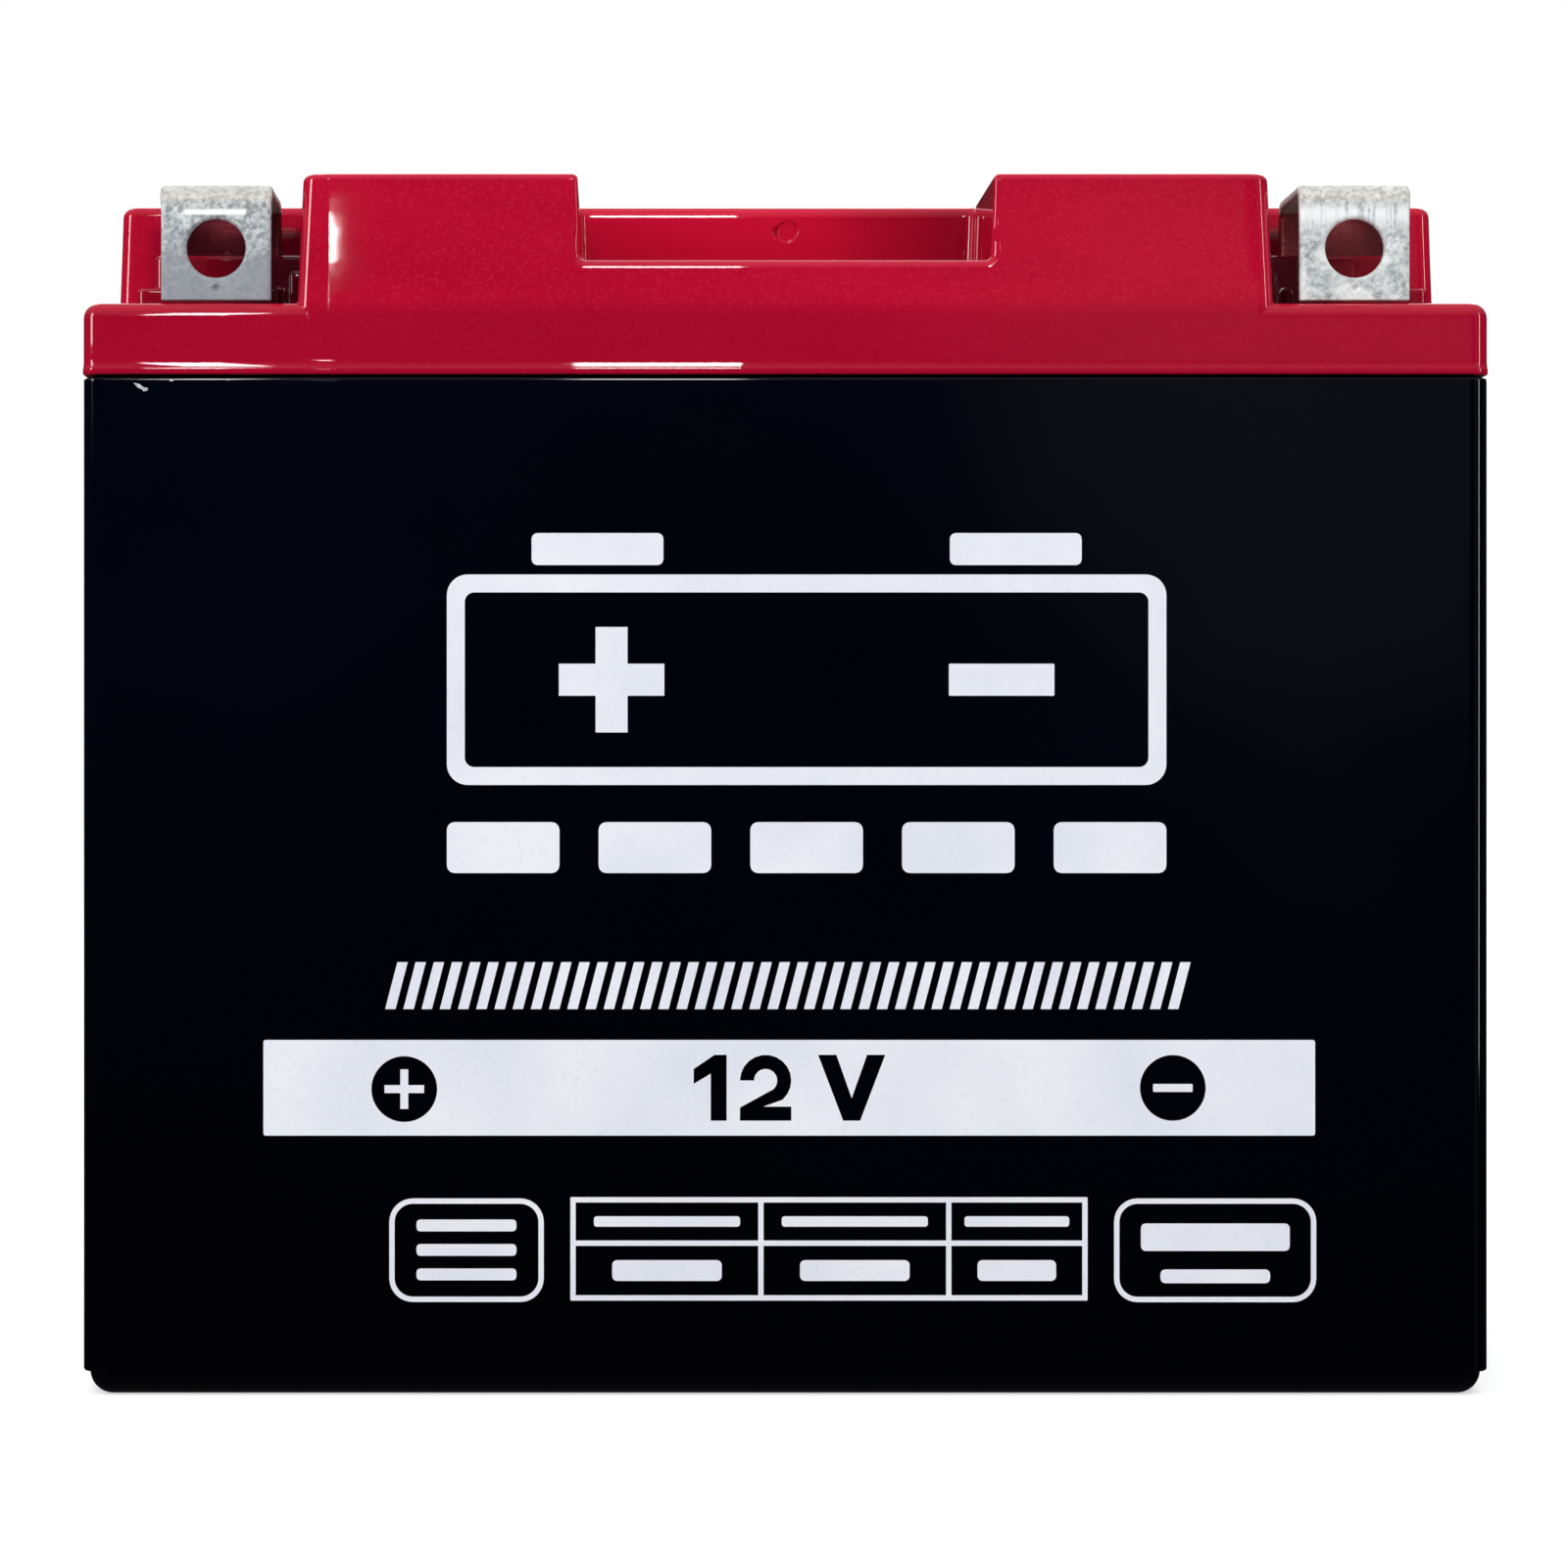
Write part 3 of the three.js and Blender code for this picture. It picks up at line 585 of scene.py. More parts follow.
# ---------------------------------------------------------------- cover
def cover_shape(x, y, z):
    up = z - BAY
    # the lower edge is rolled outwards into a lip
    flare = 0.15 * np.clip((SEAM + 1.5 - z) / 0.9, 0, 1) ** 2
    hx, hy = HALF_X - 0.09 + 0.5 * flare, HALF_Y - 0.17 + flare
    front = -(HALF_Y - 0.17)
    skirt = both(rect(x, y, -hx, hx, -hy, hy, 2.1), up, 1.6)
    skirt = both(skirt, SEAM - z, 0.25)

    px, ry = 74.15 - 0.035 * up, 33.6 - 0.035 * up
    plateau = rect(x, y, -px, px, PLATEAU_FRONT, ry, 1.8)
    bx = 52.1 - 0.05 * up
    blocks = rect(x, y, -bx, bx, front, -4.0, 2.0)
    raised = both(either(plateau, blocks, 1.1), z - TOP, 0.75 + 0.35 * smooth((y + 20.0) / 6.0))
    raised = both(raised, BAY - 2.0 - z, 0.0)
    nx = 21.85 + 0.035 * (z - NOTCH)
    notch = both(both(np.abs(x) - nx, y - PLATEAU_FRONT, 1.1), NOTCH - z, 0.6)
    # ejector pin mark on the wall behind the notch
    pin = both(length(x - 1.2, z - 127.2) - 1.15, slab(y, -12.0, PLATEAU_FRONT + 0.2))
    back = smooth((y + 13.5) / 1.5)
    rim = 0.95 - 0.4 * smooth((z - 122.5) / 2.0) * (1 - back) + 0.35 * back
    raised = without(raised, notch, rim)
    raised = without(raised, pin, 0.08)
    blend = 0.5 * smooth((y - front - 0.6) / 1.6)
    body = np.where(
        blend > 1e-3, either(raised, skirt, np.maximum(blend, 1e-3)), plain(raised, skirt)
    )

    ax = np.abs(x)
    pedestal = both(rect(ax, y, 50.0, 68.5, -24.0, -9.0, 1.2), z - 122.7, 0.6)
    guide = both(rect(ax, y, 54.6, 70.2, -25.3, -13.8, 1.0), z - 118.9, 0.45)
    key = both(rect(ax, y, 49.0, 53.5, -28.2, -23.0, 0.8), z - 120.4, 0.45)
    for part, low in ((pedestal, 115.6), (guide, 115.6), (key, 115.6)):
        body = either(body, both(part, low - z), 0.35)
    chamber = both(rect(ax, y, TX - 6.4, TX + 6.4, -20.8, -11.15, 0.5), 117.0 - z, 0.2)
    body = without(body, chamber, 0.3)

    # hollow underside
    hollow = both(
        rect(x, y, -RIM_X - 0.3, RIM_X + 0.3, -RIM_Y - 0.3, RIM_Y + 0.3, 1.8), z - CEILING
    )
    u = cell_coord(x)
    w = CELL_W / 2 - 0.7
    side = np.maximum(np.abs(u) - w, np.abs(x) - 71.2)
    gas = np.maximum(side, np.maximum(slab(y, -8.3, 30.7), slab(z, 111.3, 119.5)))
    gas = plain(gas, np.maximum(side, np.maximum(slab(y, -8.3, -1.0), slab(z, 111.3, 127.5))))
    gas = plain(gas, np.maximum(side, np.maximum(slab(y, 23.4, 30.7), slab(z, 111.3, 127.5))))
    high = np.where(np.abs(x) > PITCH, 127.5, 118.3)
    gas = plain(
        gas,
        np.maximum(
            np.maximum(side, np.abs(x) - 49.5),
            np.maximum(slab(y, -31.9, -8.2), np.maximum(111.3 - z, z - high)),
        ),
    )
    body = without(body, plain(hollow, gas), 0.15)

    # trough over the vents, with its ledge, and the vent chimneys
    trough = both(rect(x, y, -69.0, 69.0, VALVE_Y - 9.4, VALVE_Y + 9.4, 1.5), 122.0 - z, 0.3)
    ledge = both(rect(x, y, -70.6, 70.6, VALVE_Y - 11.0, VALVE_Y + 11.0, 2.0), 127.9 - z, 0.15)
    body = without(body, plain(trough, ledge), 0.3)
    r = length(u, y - VALVE_Y)
    body = plain(body, both(r - 3.5, slab(z, 119.6, 126.0), 0.25))
    body = without(body, both(r - 2.2, 118.0 - z), 0.2)

    post = length(ax - TX, y + 15.3)
    hole = plain(both(post - 3.5, slab(z, 111.0, 118.0)), both(post - 5.0, slab(z, 113.5, 118.0)))
    return without(body, hole, 0.15)


COVER = piece(
    "cover_shell",
    cover_shape,
    ticks(
        -HALF_X - 0.6, HALF_X + 0.6, 3.0,
        *both_sides((50.3, 75.6, 0.36), (20.4, 24.4, 0.3), (7.8, 16.4, 0.7), (31.8, 40.6, 0.7)),
        (0.2, 3.3, 0.22),
    ),
    ticks(
        -HALF_Y - 0.6, HALF_Y + 0.6, 3.0,
        (-35.1, -31.2, 0.32), (-29.0, -22.4, 0.36), (-21.5, -19.8, 0.36), (-19.8, -13.0, 0.8),
        (-12.6, -9.0, 0.32), (-0.6, 2.4, 0.3), (7.2, 15.2, 0.7), (20.0, 23.0, 0.3), (31.4, 35.1, 0.32),
    ),
    ticks(
        SEAM - 0.6, TOP + 0.6, 1.6,
        (SEAM - 0.6, SEAM + 0.4, 0.2), (SEAM + 0.4, SEAM + 1.75, 0.135), (114.4, 118.6, 0.3), (118.6, 123.6, 0.34),
        (125.2, 130.6, 0.3),
    ),
    RED,
    "cover",
)


# ---------------------------------------------------------------- vent lid
def vent_lid_shape(x, y, z):
    plate_ = both(
        rect(x, y, lid_low.x, lid_high.x, lid_low.y, lid_high.y, 1.7), slab(z, 128.2, TOP), 0.35
    )
    r = length(x, y - VALVE_Y)
    body = either(plate_, both(r - 4.2, slab(z, lid_low.z, 128.6), 0.25), 0.2)
    body = without(body, both(r - 3.3, z - 128.5), 0.2)
    # shallow dish round the gas outlet
    body = without(body, both(r - 2.6, TOP - 0.35 - z, 0.1), 0.12)
    return without(body, r - 0.95, 0.12)


piece(
    "vent_lid_plate",
    vent_lid_shape,
    ticks(lid_low.x - 0.5, lid_high.x + 0.5, 3.0, *both_sides((68.2, 70.8, 0.2)), (-5.0, 5.0, 0.22)),
    ticks(lid_low.y - 0.5, lid_high.y + 0.5, 2.0, (0.0, 2.5, 0.2), (6.4, 16.0, 0.22), (19.9, 22.4, 0.2)),
    ticks(lid_low.z - 0.5, TOP + 0.5, 0.6, (127.8, 130.5, 0.16)),
    RED,
    "vent_lid",
)


# ---------------------------------------------------------------- case
def case_shape(x, y, z):
    body = rect(x, y, -CASE_X, CASE_X, -CASE_Y, CASE_Y, 2.2)
    body = both(body, slab(z, 2.5, CASE_TOP), 0.25)
    # the foot is drawn in at the end walls and flush at the front and the back
    fx, fy = CASE_X - 0.65, CASE_Y
    foot = both(rect(x, y, -fx, fx, -fy, fy, 2.6), -z, 2.45)
    body = plain(body, np.maximum(foot, z - 6.0))
    rim = both(rect(x, y, -RIM_X, RIM_X, -RIM_Y, RIM_Y, 1.5), slab(z, CASE_TOP - 1, RIM_TOP), 0.3)
    body = either(body, rim, 0.2)
    u = cell_coord(x)
    cell = np.maximum(
        np.maximum(np.abs(u) - CELL_W / 2, np.abs(x) - INNER_X),
        np.maximum(np.abs(y) - INNER_Y, 2.5 - z),
    )
    body = without(body, cell, 0.15)
    rest = np.maximum(
        slab(np.abs(y), 15.0, 17.0), np.maximum(slab(z, 2.0, 4.0), np.abs(x) - INNER_X - 0.1)
    )
    body = plain(body, rest)
    for k in range(5):
        s = -1 if k % 2 == 0 else 1
        xc = CELLS[k] + PITCH / 2
        window = np.maximum(np.abs(x - xc) - 1.5, length(y + s * (-15.3), z - 104.8) - 3.8)
        body = without(body, window)
    return body


piece(
    "case_shell",
    case_shape,
    ticks(
        -HALF_X - 0.6, HALF_X + 0.6, 3.0,
        *both_sides((71.7, 75.6, 0.25)),
        *[(c + PITCH / 2 - 1.2, c + PITCH / 2 + 1.2, 0.6) for c in CELLS[:5]],
    ),
    ticks(
        -HALF_Y - 0.3, HALF_Y + 0.3, 3.0,
        *both_sides((31.2, 34.8, 0.25)),
        (-20.0, -10.6, 0.8), (10.6, 20.0, 0.8),
    ),
    ticks(-0.6, RIM_TOP + 0.6, 4.0, (-0.6, 3.4, 0.2), (3.4, 4.6, 0.3), (100.0, 106.8, 0.8), (106.8, 112.6, 0.25)),
    BLACK,
    "case",
)


# ---------------------------------------------------------------- terminals
def strip_path():
    def arc(cy, cz, r, a0, a1, n=8):
        return [
            (cy + r * math.cos(a0 + (a1 - a0) * i / n), cz + r * math.sin(a0 + (a1 - a0) * i / n))
            for i in range(n + 1)
        ]

    f, b = term_low.y + 0.55, -19.4 - 0.55
    top = term_high.z - 0.55
    r = 1.25
    q = math.pi / 2
    return (
        [(f, 114.0)]
        + arc(f + r, top - r, r, 2 * q, q)
        + arc(b - r, top - r, r, q, 0)
        + arc(b + r, 117.85 + r, r, 2 * q, 3 * q)
        + [(-9.0, 117.85)]
    )


PATH = strip_path()


def terminal_shape(centre):
    def shape(x, y, z):
        d = None
        for (ay, az), (by, bz) in zip(PATH, PATH[1:]):
            ly, lz = by - ay, bz - az
            t = np.clip(((y - ay) * ly + (z - az) * lz) / (ly * ly + lz * lz), 0, 1)
            e = length(y - ay - t * ly, z - az - t * lz)
            d = e if d is None else np.minimum(d, e)
        strip = d - 0.55
        u = x - centre
        # the bends squeeze the strip a little wider at their edges
        bend = np.exp(-(((y - term_low.y) / 2.2) ** 2 + ((z - term_high.z) / 2.2) ** 2))
        strip = both(strip, np.abs(u) - 6.0 + 0.12 - 0.12 * bend, 0.4)
        strip = both(strip, np.maximum(term_low.z - z, y + 11.1), 0.12)
        front = np.maximum(length(u, z - 122.2) - 3.15, y + 26.0)
        above = np.maximum(length(u, y + 26.2) - 3.15, 125.0 - z)
        foot = np.maximum(length(u, y + 15.3) - 3.3, z - 120.0)
        strip = without(strip, plain(plain(front, above), foot), 0.35)
        # small centre-punch mark under the hole, and on the positive terminal a press groove over it
        punch = length(u, y - term_low.y, z - 117.9) - 0.34
        strip = without(strip, punch, 0.1)
        if centre > 0:
            return strip
        groove = both(
            np.maximum(np.abs(u + 0.1) - 3.3, np.abs(z - 126.15) - 0.12), y - term_low.y - 0.09, 0.05
        )
        return without(strip, groove, 0.12)

    return shape


for side, name in ((-1, "positive"), (1, "negative")):
    c = side * TX
    piece(
        name + "_terminal_strip",
        terminal_shape(c),
        ticks(c - 6.4, c + 6.4, 0.22),
        ticks(term_low.y - 0.4, -10.7, 0.26),
        ticks(term_low.z - 0.4, term_high.z + 0.4, 0.22),
        METAL,
        name + "_terminal",
    )


# ---------------------------------------------------------------- glue squeezed out at the seam
def glue():
    m = Nodes("glue_pale", IOR=1.48, Roughness=0.35)
    n = m.noise(1800, 3, 0.6)
    m.base(m.mix(m.span(n, 0.35, 0.65, 0, 1), srgb(150, 158, 168), srgb(196, 202, 208)))
    m.rough(m.span(n, 0.3, 0.7, 0.3, 0.5))
    m.bump((n, 0.3, 0.00005))
    return m.material


def crumbs():
    """Small flat crumbs: middle x and z, half length, half height, slope."""
    bm = bmesh.new()
    for i, (cx, cz, a, b, tilt) in enumerate((
        (-68.65, 107.25, 0.66, 0.2, -0.55), (-68.1, 106.95, 0.3, 0.2, 0.3), (-65.3, 107.9, 0.2, 0.1, 0.1),
        (-59.3, 108.0, 0.14, 0.1, 0.4),
    )):
        made = bmesh.ops.create_icosphere(bm, subdivisions=3, radius=1.0)["verts"]
        for v in made:
            k = 1 + 0.22 * math.sin(5.1 * v.co.x + 1.7 * i) * math.cos(4.3 * v.co.z + i)
            u, w = a * k * v.co.x, b * k * v.co.z
            v.co = (
                (cx + u * math.cos(tilt) - w * math.sin(tilt)) * MM,
                (-CASE_Y + 0.02 + 0.1 * v.co.y) * MM,
                (cz + u * math.sin(tilt) + w * math.cos(tilt)) * MM,
            )
    mesh = bpy.data.meshes.new("seam_glue")
    bm.to_mesh(mesh)
    bm.free()
    mesh.polygons.foreach_set("use_smooth", [True] * len(mesh.polygons))
    mesh.materials.append(glue())
    o = bpy.data.objects.new("seam_glue", mesh)
    bpy.context.scene.collection.objects.link(o)
    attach(o, "battery")


crumbs()


# ---------------------------------------------------------------- printing on the front wall
# Places are in millimetres on the wall: x to the right, z up. All of it is generic: a battery
# pictogram, level bars, a hatched rule, a band with the polarity marks and the nominal voltage,
# and empty rating boxes with plain bars.
def rounded(x0, x1, z0, z1, r, n=8):
    pts = []
    for cx, cz, a in (
        (x1 - r, z1 - r, 0),
        (x0 + r, z1 - r, 1),
        (x0 + r, z0 + r, 2),
        (x1 - r, z0 + r, 3),
    ):
        for i in range(n + 1):
            t = (a + i / n) * math.pi / 2
            pts.append((cx + r * math.cos(t), cz + r * math.sin(t)))
    return pts


def disc(cx, cz, r, n=48):
    return [
        (cx + r * math.cos(2 * math.pi * i / n), cz + r * math.sin(2 * math.pi * i / n))
        for i in range(n)
    ]


def bar(x0, x1, z0, z1, r=0.15):
    return rounded(x0, x1, z0, z1, r, 3)


def slanted(x0, x1, z0, z1, lean):
    return [(x0, z0), (x1, z0), (x1 + lean, z1), (x0 + lean, z1)]


def cross(cx, cz, arm, half):
    a, h = arm, half
    return [
        (cx + p, cz + q)
        for p, q in (
            (-h, -a), (h, -a), (h, -h), (a, -h), (a, h), (h, h),
            (h, a), (-h, a), (-h, h), (-a, h), (-a, -h), (-h, -h),
        )
    ]


def printed(name, loops):
    """A thin layer of ink. Loops inside other loops are holes."""
    curve = bpy.data.curves.new(name, "CURVE")
    curve.dimensions = "2D"
    curve.fill_mode = "BOTH"
    curve.extrude = 0.03 * MM
    for pts in loops:
        s = curve.splines.new("POLY")
        s.points.add(len(pts) - 1)
        for p, (px, pz) in zip(s.points, pts):
            p.co = (px * MM, pz * MM, 0, 1)
        s.use_cyclic_u = True
    return lay(name, curve)


def lay(name, curve, place=(0, 0)):
    o = bpy.data.objects.new(name + "_tmp", curve)
    bpy.context.scene.collection.objects.link(o)
    bpy.context.view_layer.update()
    mesh = bpy.data.meshes.new_from_object(
        o.evaluated_get(bpy.context.evaluated_depsgraph_get())
    )
    bpy.data.objects.remove(o)
    mesh.name = name
    y = (-CASE_Y - 0.035) * MM
    for v in mesh.vertices:
        v.co = (v.co.x + place[0] * MM, y - v.co.z, v.co.y + place[1] * MM)
    mesh.materials.clear()
    mesh.materials.append(INK)
    mesh.update()
    p = bpy.data.objects.new(name, mesh)
    bpy.context.scene.collection.objects.link(p)
    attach(p, "battery")
    return p


def at(x, y):
    """A point of the artwork's layout grid, 9.615 units to the millimetre, on the front wall."""
    return (x - 801.5) / 9.615, (1424.3 - y) / 9.615


def box_at(x0, y0, x1, y1):
    (a, d), (b, c) = at(x0, y0), at(x1, y1)
    return a, b, c, d


# battery pictogram
x0, x1, z0, z1 = box_at(455, 585, 1190, 800)
t = 1.9
loops = [rounded(x0, x1, z0, z1, 2.2), rounded(x0 + t, x1 - t, z0 + t, z1 - t, 1.0)]
for a, b in ((x0 + 9, x0 + 23), (x1 - 23, x1 - 9)):
    loops.append(bar(a, b, z1 + 1.0, z1 + 4.4, 0.6))
zc = (z0 + z1) / 2
loops.append(cross(x0 + 17.5, zc, 5.6, 1.7))
loops.append(bar(x1 - 23.1, x1 - 11.9, zc - 1.7, zc + 1.7, 0.1))
printed("print_pictogram", loops)

# level bars
loops = []
for i in range(5):
    a, b, c, d = box_at(455 + i * 155, 838, 455 + i * 155 + 115, 890)
    loops.append(bar(a, b, c, d, 0.8))
printed("print_level_bars", loops)

# hatched rule
loops = []
for i in range(44):
    a, b, c, d = box_at(392 + i * 18.6, 981, 392 + i * 18.6 + 10.5, 1029)
    loops.append(slanted(a, b, c, d, 1.3))
printed("print_hatched_rule", loops)

# polarity band, open where the marks and the voltage stand
a, b, c, d = box_at(267.6, 1060.5, 1341.9, 1158.2)
pc, nc = at(411.5, 1110.7), at(1196.6, 1109.5)
R = 3.5
loops = [
    bar(a, b, c, d, 0.25),
    disc(*pc, R),
    disc(*nc, R),
    cross(*pc, 2.1, 0.42),
    bar(nc[0] - 2.1, nc[0] + 2.1, nc[1] - 0.42, nc[1] + 0.42, 0.1),
]
zc = (c + d) / 2
# the figures 1, 2 and the letter V, cut out of the band
h = 3.5
K = 1.3
g = []
xa = -9.3
g.append([
    (xa + 1.0 * K, zc - h), (xa + 2.3 * K, zc - h), (xa + 2.3 * K, zc + h), (xa + 1.3 * K, zc + h),
    (xa - 0.4 * K, zc + h - 1.5), (xa - 0.4 * K, zc + h - 3.1), (xa + 1.0 * K, zc + h - 2.0),
])
xb = -4.9
R2 = 2.1 * K
R1 = R2 - 1.5
arc_ = [math.pi * (1.0 - i / 14 * 1.27) for i in range(15)]
two = [(xb + R2 + R2 * math.cos(q), zc + h - R2 + R2 * math.sin(q)) for q in arc_]
inner = [(xb + R2 + R1 * math.cos(q), zc + h - R2 + R1 * math.sin(q)) for q in arc_]
g.append(
    two
    + [
        (xb + 2.5, zc - h + 1.5), (xb + 2 * R2, zc - h + 1.5), (xb + 2 * R2, zc - h),
        (xb, zc - h), (xb, zc - h + 1.4),
    ]
    + inner[::-1]
)
xc = 3.4
g.append([
    (xc, zc + h), (xc + 1.5 * K, zc + h), (xc + 2.75 * K, zc - h + 2.4), (xc + 4.0 * K, zc + h),
    (xc + 5.5 * K, zc + h), (xc + 3.45 * K, zc - h), (xc + 2.05 * K, zc - h),
])
printed("print_polarity_band", loops + g)

# bottom row: a small box with bars, a table, and a wider box with bars
w = 0.56


def frame_loops(x0, y0, x1, y1, r, line=w):
    a, b, c, d = box_at(x0, y0, x1, y1)
    return [rounded(a, b, c, d, r), rounded(a + line, b - line, c + line, d - line, max(r - line, 0.1))]


loops = frame_loops(396.2, 1222.4, 554.0, 1328.1, 2.5)
for yy, k in ((1250, 0.0), (1275, 0.0), (1300, 0.0)):
    a, b, c, d = box_at(424, yy - 6, 526, yy + 6)
    loops.append(bar(a, b, c, d, 0.4))
printed("print_box_left", loops)

a, b, c, d = box_at(581.2, 1221.1, 1109.5, 1326.7)
cols = [a, at(775.8, 0)[0], at(967.7, 0)[0], b]
mid = at(0, 1268.1)[1]
loops = [bar(a, b, c, d, 0.1)]
for p, q in zip(cols, cols[1:]):
    for lo_, hi_ in ((c, mid), (mid, d)):
        left = p + (w if p == a else w / 2)
        right = q - (w if q == b else w / 2)
        low_ = lo_ + (w if lo_ == c else w / 2)
        top_ = hi_ - (w if hi_ == d else w / 2)
        loops.append(bar(left, right, low_, top_, 0.05))
        m_ = (left + right) / 2
        zz = (low_ + top_) / 2
        if lo_ == c:
            half_ = 0.3 * (right - left)
            loops.append(bar(m_ - half_, m_ + half_, zz - 1.1, zz + 1.1, 0.5))
        else:
            half_ = 0.4 * (right - left)
            loops.append(bar(m_ - half_, m_ + half_, zz - 0.55, zz + 0.55, 0.3))
printed("print_table", loops)

loops = frame_loops(1136.6, 1222.4, 1343.1, 1328.3, 2.5)
for yy, half, th in ((1262, 76, 14), (1302, 56, 7)):
    a, b, c, d = box_at(1240 - half, yy - th, 1240 + half, yy + th)
    loops.append(bar(a, b, c, d, 0.5))
printed("print_box_right", loops)

# ---------------------------------------------------------------- floor, light and camera
scene = bpy.context.scene


def floor():
    mesh = bpy.data.meshes.new("floor")
    s = 6.0
    mesh.from_pydata([(-s, -s, 0), (s, -s, 0), (s, s, 0), (-s, s, 0)], [], [(0, 1, 2, 3)])
    o = bpy.data.objects.new("floor", mesh)
    scene.collection.objects.link(o)
    m = Nodes("floor_pale", Roughness=0.8)
    m.base(m.mix(m.span(m.noise(3, 2), 0.3, 0.7, 0, 1), (0.54, 0.54, 0.545, 1), (0.56, 0.56, 0.56, 1)))
    # a light table: it glows a little itself, so its shadows stay pale
    m.shader.inputs["Emission Color"].default_value = (1, 1, 1, 1)
    to_eye = m.tree.nodes.new("ShaderNodeLightPath").outputs["Is Camera Ray"]
    m.link(m.math("MULTIPLY", to_eye, 0.53), m.shader.inputs["Emission Strength"])
    mesh.materials.append(m.material)
    o.visible_glossy = False


def area(name, place, aim, width, height, watts, colour=(1, 1, 1), shape="RECTANGLE"):
    light = bpy.data.lights.new(name, "AREA")
    light.shape = shape
    light.size, light.size_y = width, height
    light.energy = watts
    light.color = colour
    o = bpy.data.objects.new(name, light)
    scene.collection.objects.link(o)
    o.location = place
    o.rotation_euler = (Vector(aim) - Vector(place)).to_track_quat("-Z", "Y").to_euler()
    return o


floor()
area("middle_lamp", (-0.001, -1.075, 0.64), (0, 0, 0.11), 0.068, 0.34, 2.15)
area("left_lamp", (-0.190, -1.075, 0.64), (-0.06, 0, 0.11), 0.036, 0.34, 1.25)
area("low_lamp", (-0.1395, -1.20, 0.2918), (-0.05, 0, 0.12), 0.0082, 0.0255, 0.031, shape="ELLIPSE")
area("low_lamp_tail", (-0.1444, -1.20, 0.2706), (-0.05, 0, 0.12), 0.0018, 0.017, 0.0036, shape="ELLIPSE")
area("left_strip", (-0.95, -0.42, 0.43), (0, 0, 0.10), 0.24, 0.42, 3.2)
area("right_gleam", (0.80, -0.76, 0.12), (0.07, -0.03, 0.07), 0.05, 0.9, 0.06)
area("right_strip", (0.95, -0.42, 0.30), (0, 0, 0.07), 0.05, 0.7, 1.8)
area("back_softbox", (0.0, 1.2, 0.8), (0, 0, 0.07), 1.2, 0.7, 4.0)
sun = bpy.data.lights.new("sun", "SUN")
sun.energy = 2.5
sun.angle = math.radians(100)
sky = bpy.data.objects.new("sun", sun)
scene.collection.objects.link(sky)
sky.rotation_euler = (math.radians(7), math.radians(-4), 0)
sky.visible_glossy = False

world = bpy.data.worlds.new("studio")
scene.world = world
world.use_nodes = True
wt = world.node_tree
bg = wt.nodes["Background"]
bg.inputs["Strength"].default_value = 1.0
up = wt.nodes.new("ShaderNodeTexCoord")
part = wt.nodes.new("ShaderNodeSeparateXYZ")
wt.links.new(up.outputs["Generated"], part.inputs["Vector"])
shade = wt.nodes.new("ShaderNodeValToRGB")
level = wt.nodes.new("ShaderNodeMapRange")
level.inputs["From Min"].default_value = -1
wt.links.new(part.outputs["Z"], level.inputs["Value"])
wt.links.new(level.outputs["Result"], shade.inputs["Fac"])
stops = ((0.0, 0.05), (0.36, 0.02), (0.44, 0.01), (0.62, 0.02), (0.78, 0.30), (1.0, 0.5))
while len(shade.color_ramp.elements) < len(stops):
    shade.color_ramp.elements.new(0.5)
for e, (pos, val) in zip(shade.color_ramp.elements, stops):
    e.position = pos
    e.color = (val * 0.97, val * 0.98, val, 1)


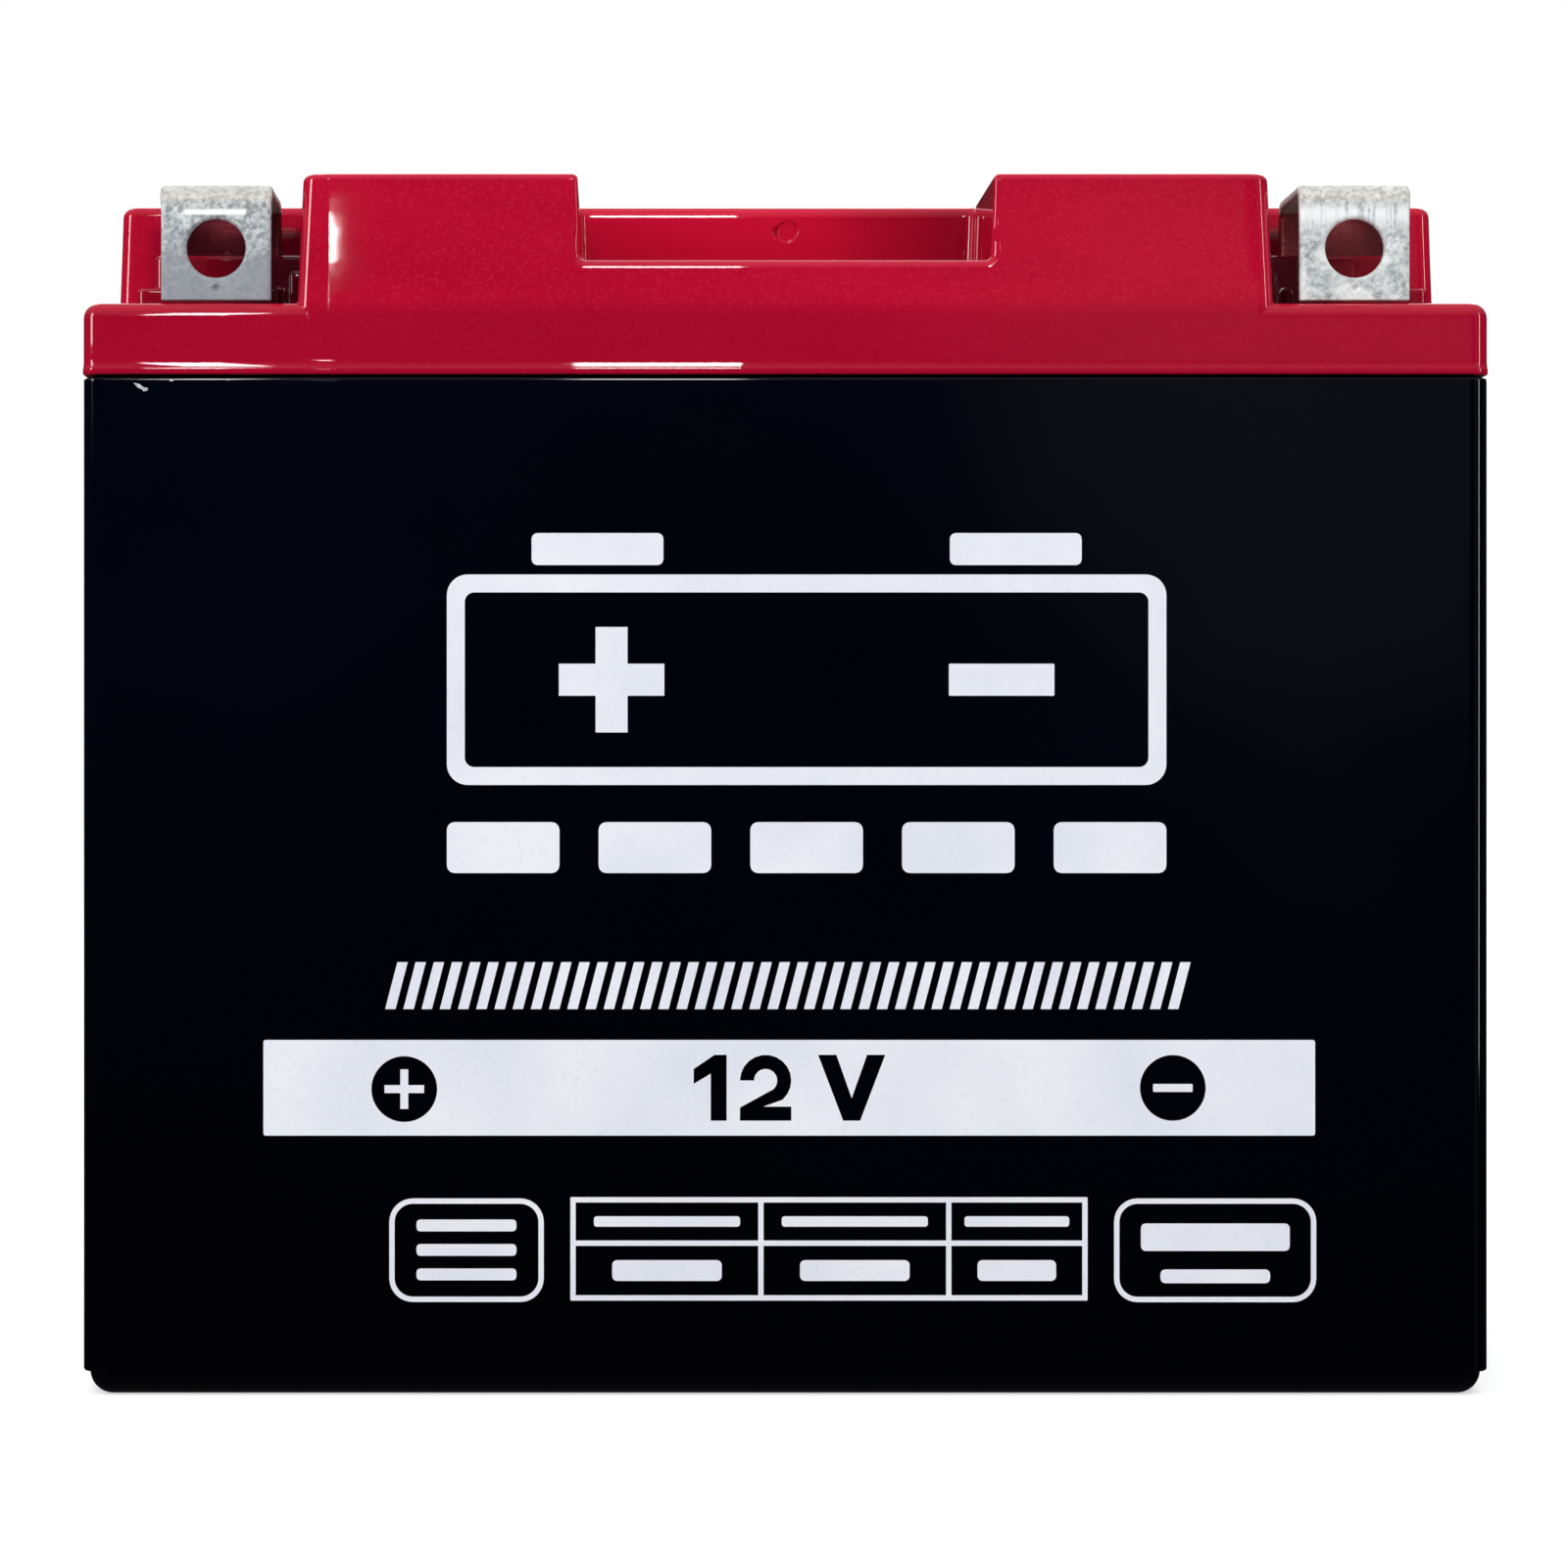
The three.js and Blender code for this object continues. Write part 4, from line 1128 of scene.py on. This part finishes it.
def glow(towards, inner, outer, strength):
    """A faint soft patch of light in the dark room in front of the battery."""
    dot = wt.nodes.new("ShaderNodeVectorMath")
    dot.operation = "DOT_PRODUCT"
    wt.links.new(up.outputs["Generated"], dot.inputs[0])
    dot.inputs[1].default_value = Vector(towards).normalized()
    m = wt.nodes.new("ShaderNodeMapRange")
    m.interpolation_type = "SMOOTHSTEP"
    m.inputs["From Min"].default_value = math.cos(outer)
    m.inputs["From Max"].default_value = math.cos(inner)
    m.inputs["To Max"].default_value = strength
    wt.links.new(dot.outputs["Value"], m.inputs["Value"])
    return m.outputs["Result"]


def plus(a, b):
    m = wt.nodes.new("ShaderNodeMath")
    m.operation = "ADD"
    wt.links.new(a, m.inputs[0])
    wt.links.new(b, m.inputs[1])
    return m.outputs["Value"]


room = plus(glow((0.19, -1, 0.115), 0.02, 0.12, 0.12), glow((0.19, -1, 0.02), 0.03, 0.055, 0.02))
tint = wt.nodes.new("ShaderNodeMix")
tint.data_type = "RGBA"
tint.blend_type = "ADD"
tint.inputs[0].default_value = 1.0
wt.links.new(shade.outputs["Color"], tint.inputs[6])
wt.links.new(room, tint.inputs[7])
wt.links.new(tint.outputs[2], bg.inputs["Color"])
seen = wt.nodes.new("ShaderNodeBackground")
seen.inputs["Color"].default_value = (1.0, 1.0, 1.0, 1)
seen.inputs["Strength"].default_value = 1.0
path = wt.nodes.new("ShaderNodeLightPath")
mixed = wt.nodes.new("ShaderNodeMixShader")
wt.links.new(path.outputs["Is Camera Ray"], mixed.inputs["Fac"])
wt.links.new(bg.outputs["Background"], mixed.inputs[1])
wt.links.new(seen.outputs["Background"], mixed.inputs[2])
wt.links.new(mixed.outputs["Shader"], wt.nodes["World Output"].inputs["Surface"])

scene.view_settings.view_transform = "Standard"
scene.view_settings.look = "None"

camera = bpy.data.cameras.new("camera")
camera.sensor_width = 36
camera.lens = 86.45
camera.shift_x = 0.10614
camera.shift_y = -0.00125
camera.clip_start, camera.clip_end = 0.01, 30
eye = bpy.data.objects.new("camera", camera)
scene.collection.objects.link(eye)
eye.location = (-0.0179, -(HALF_Y * MM) - 0.400, 0.06524)
eye.rotation_euler = (math.pi / 2, 0, 0)
scene.camera = eye
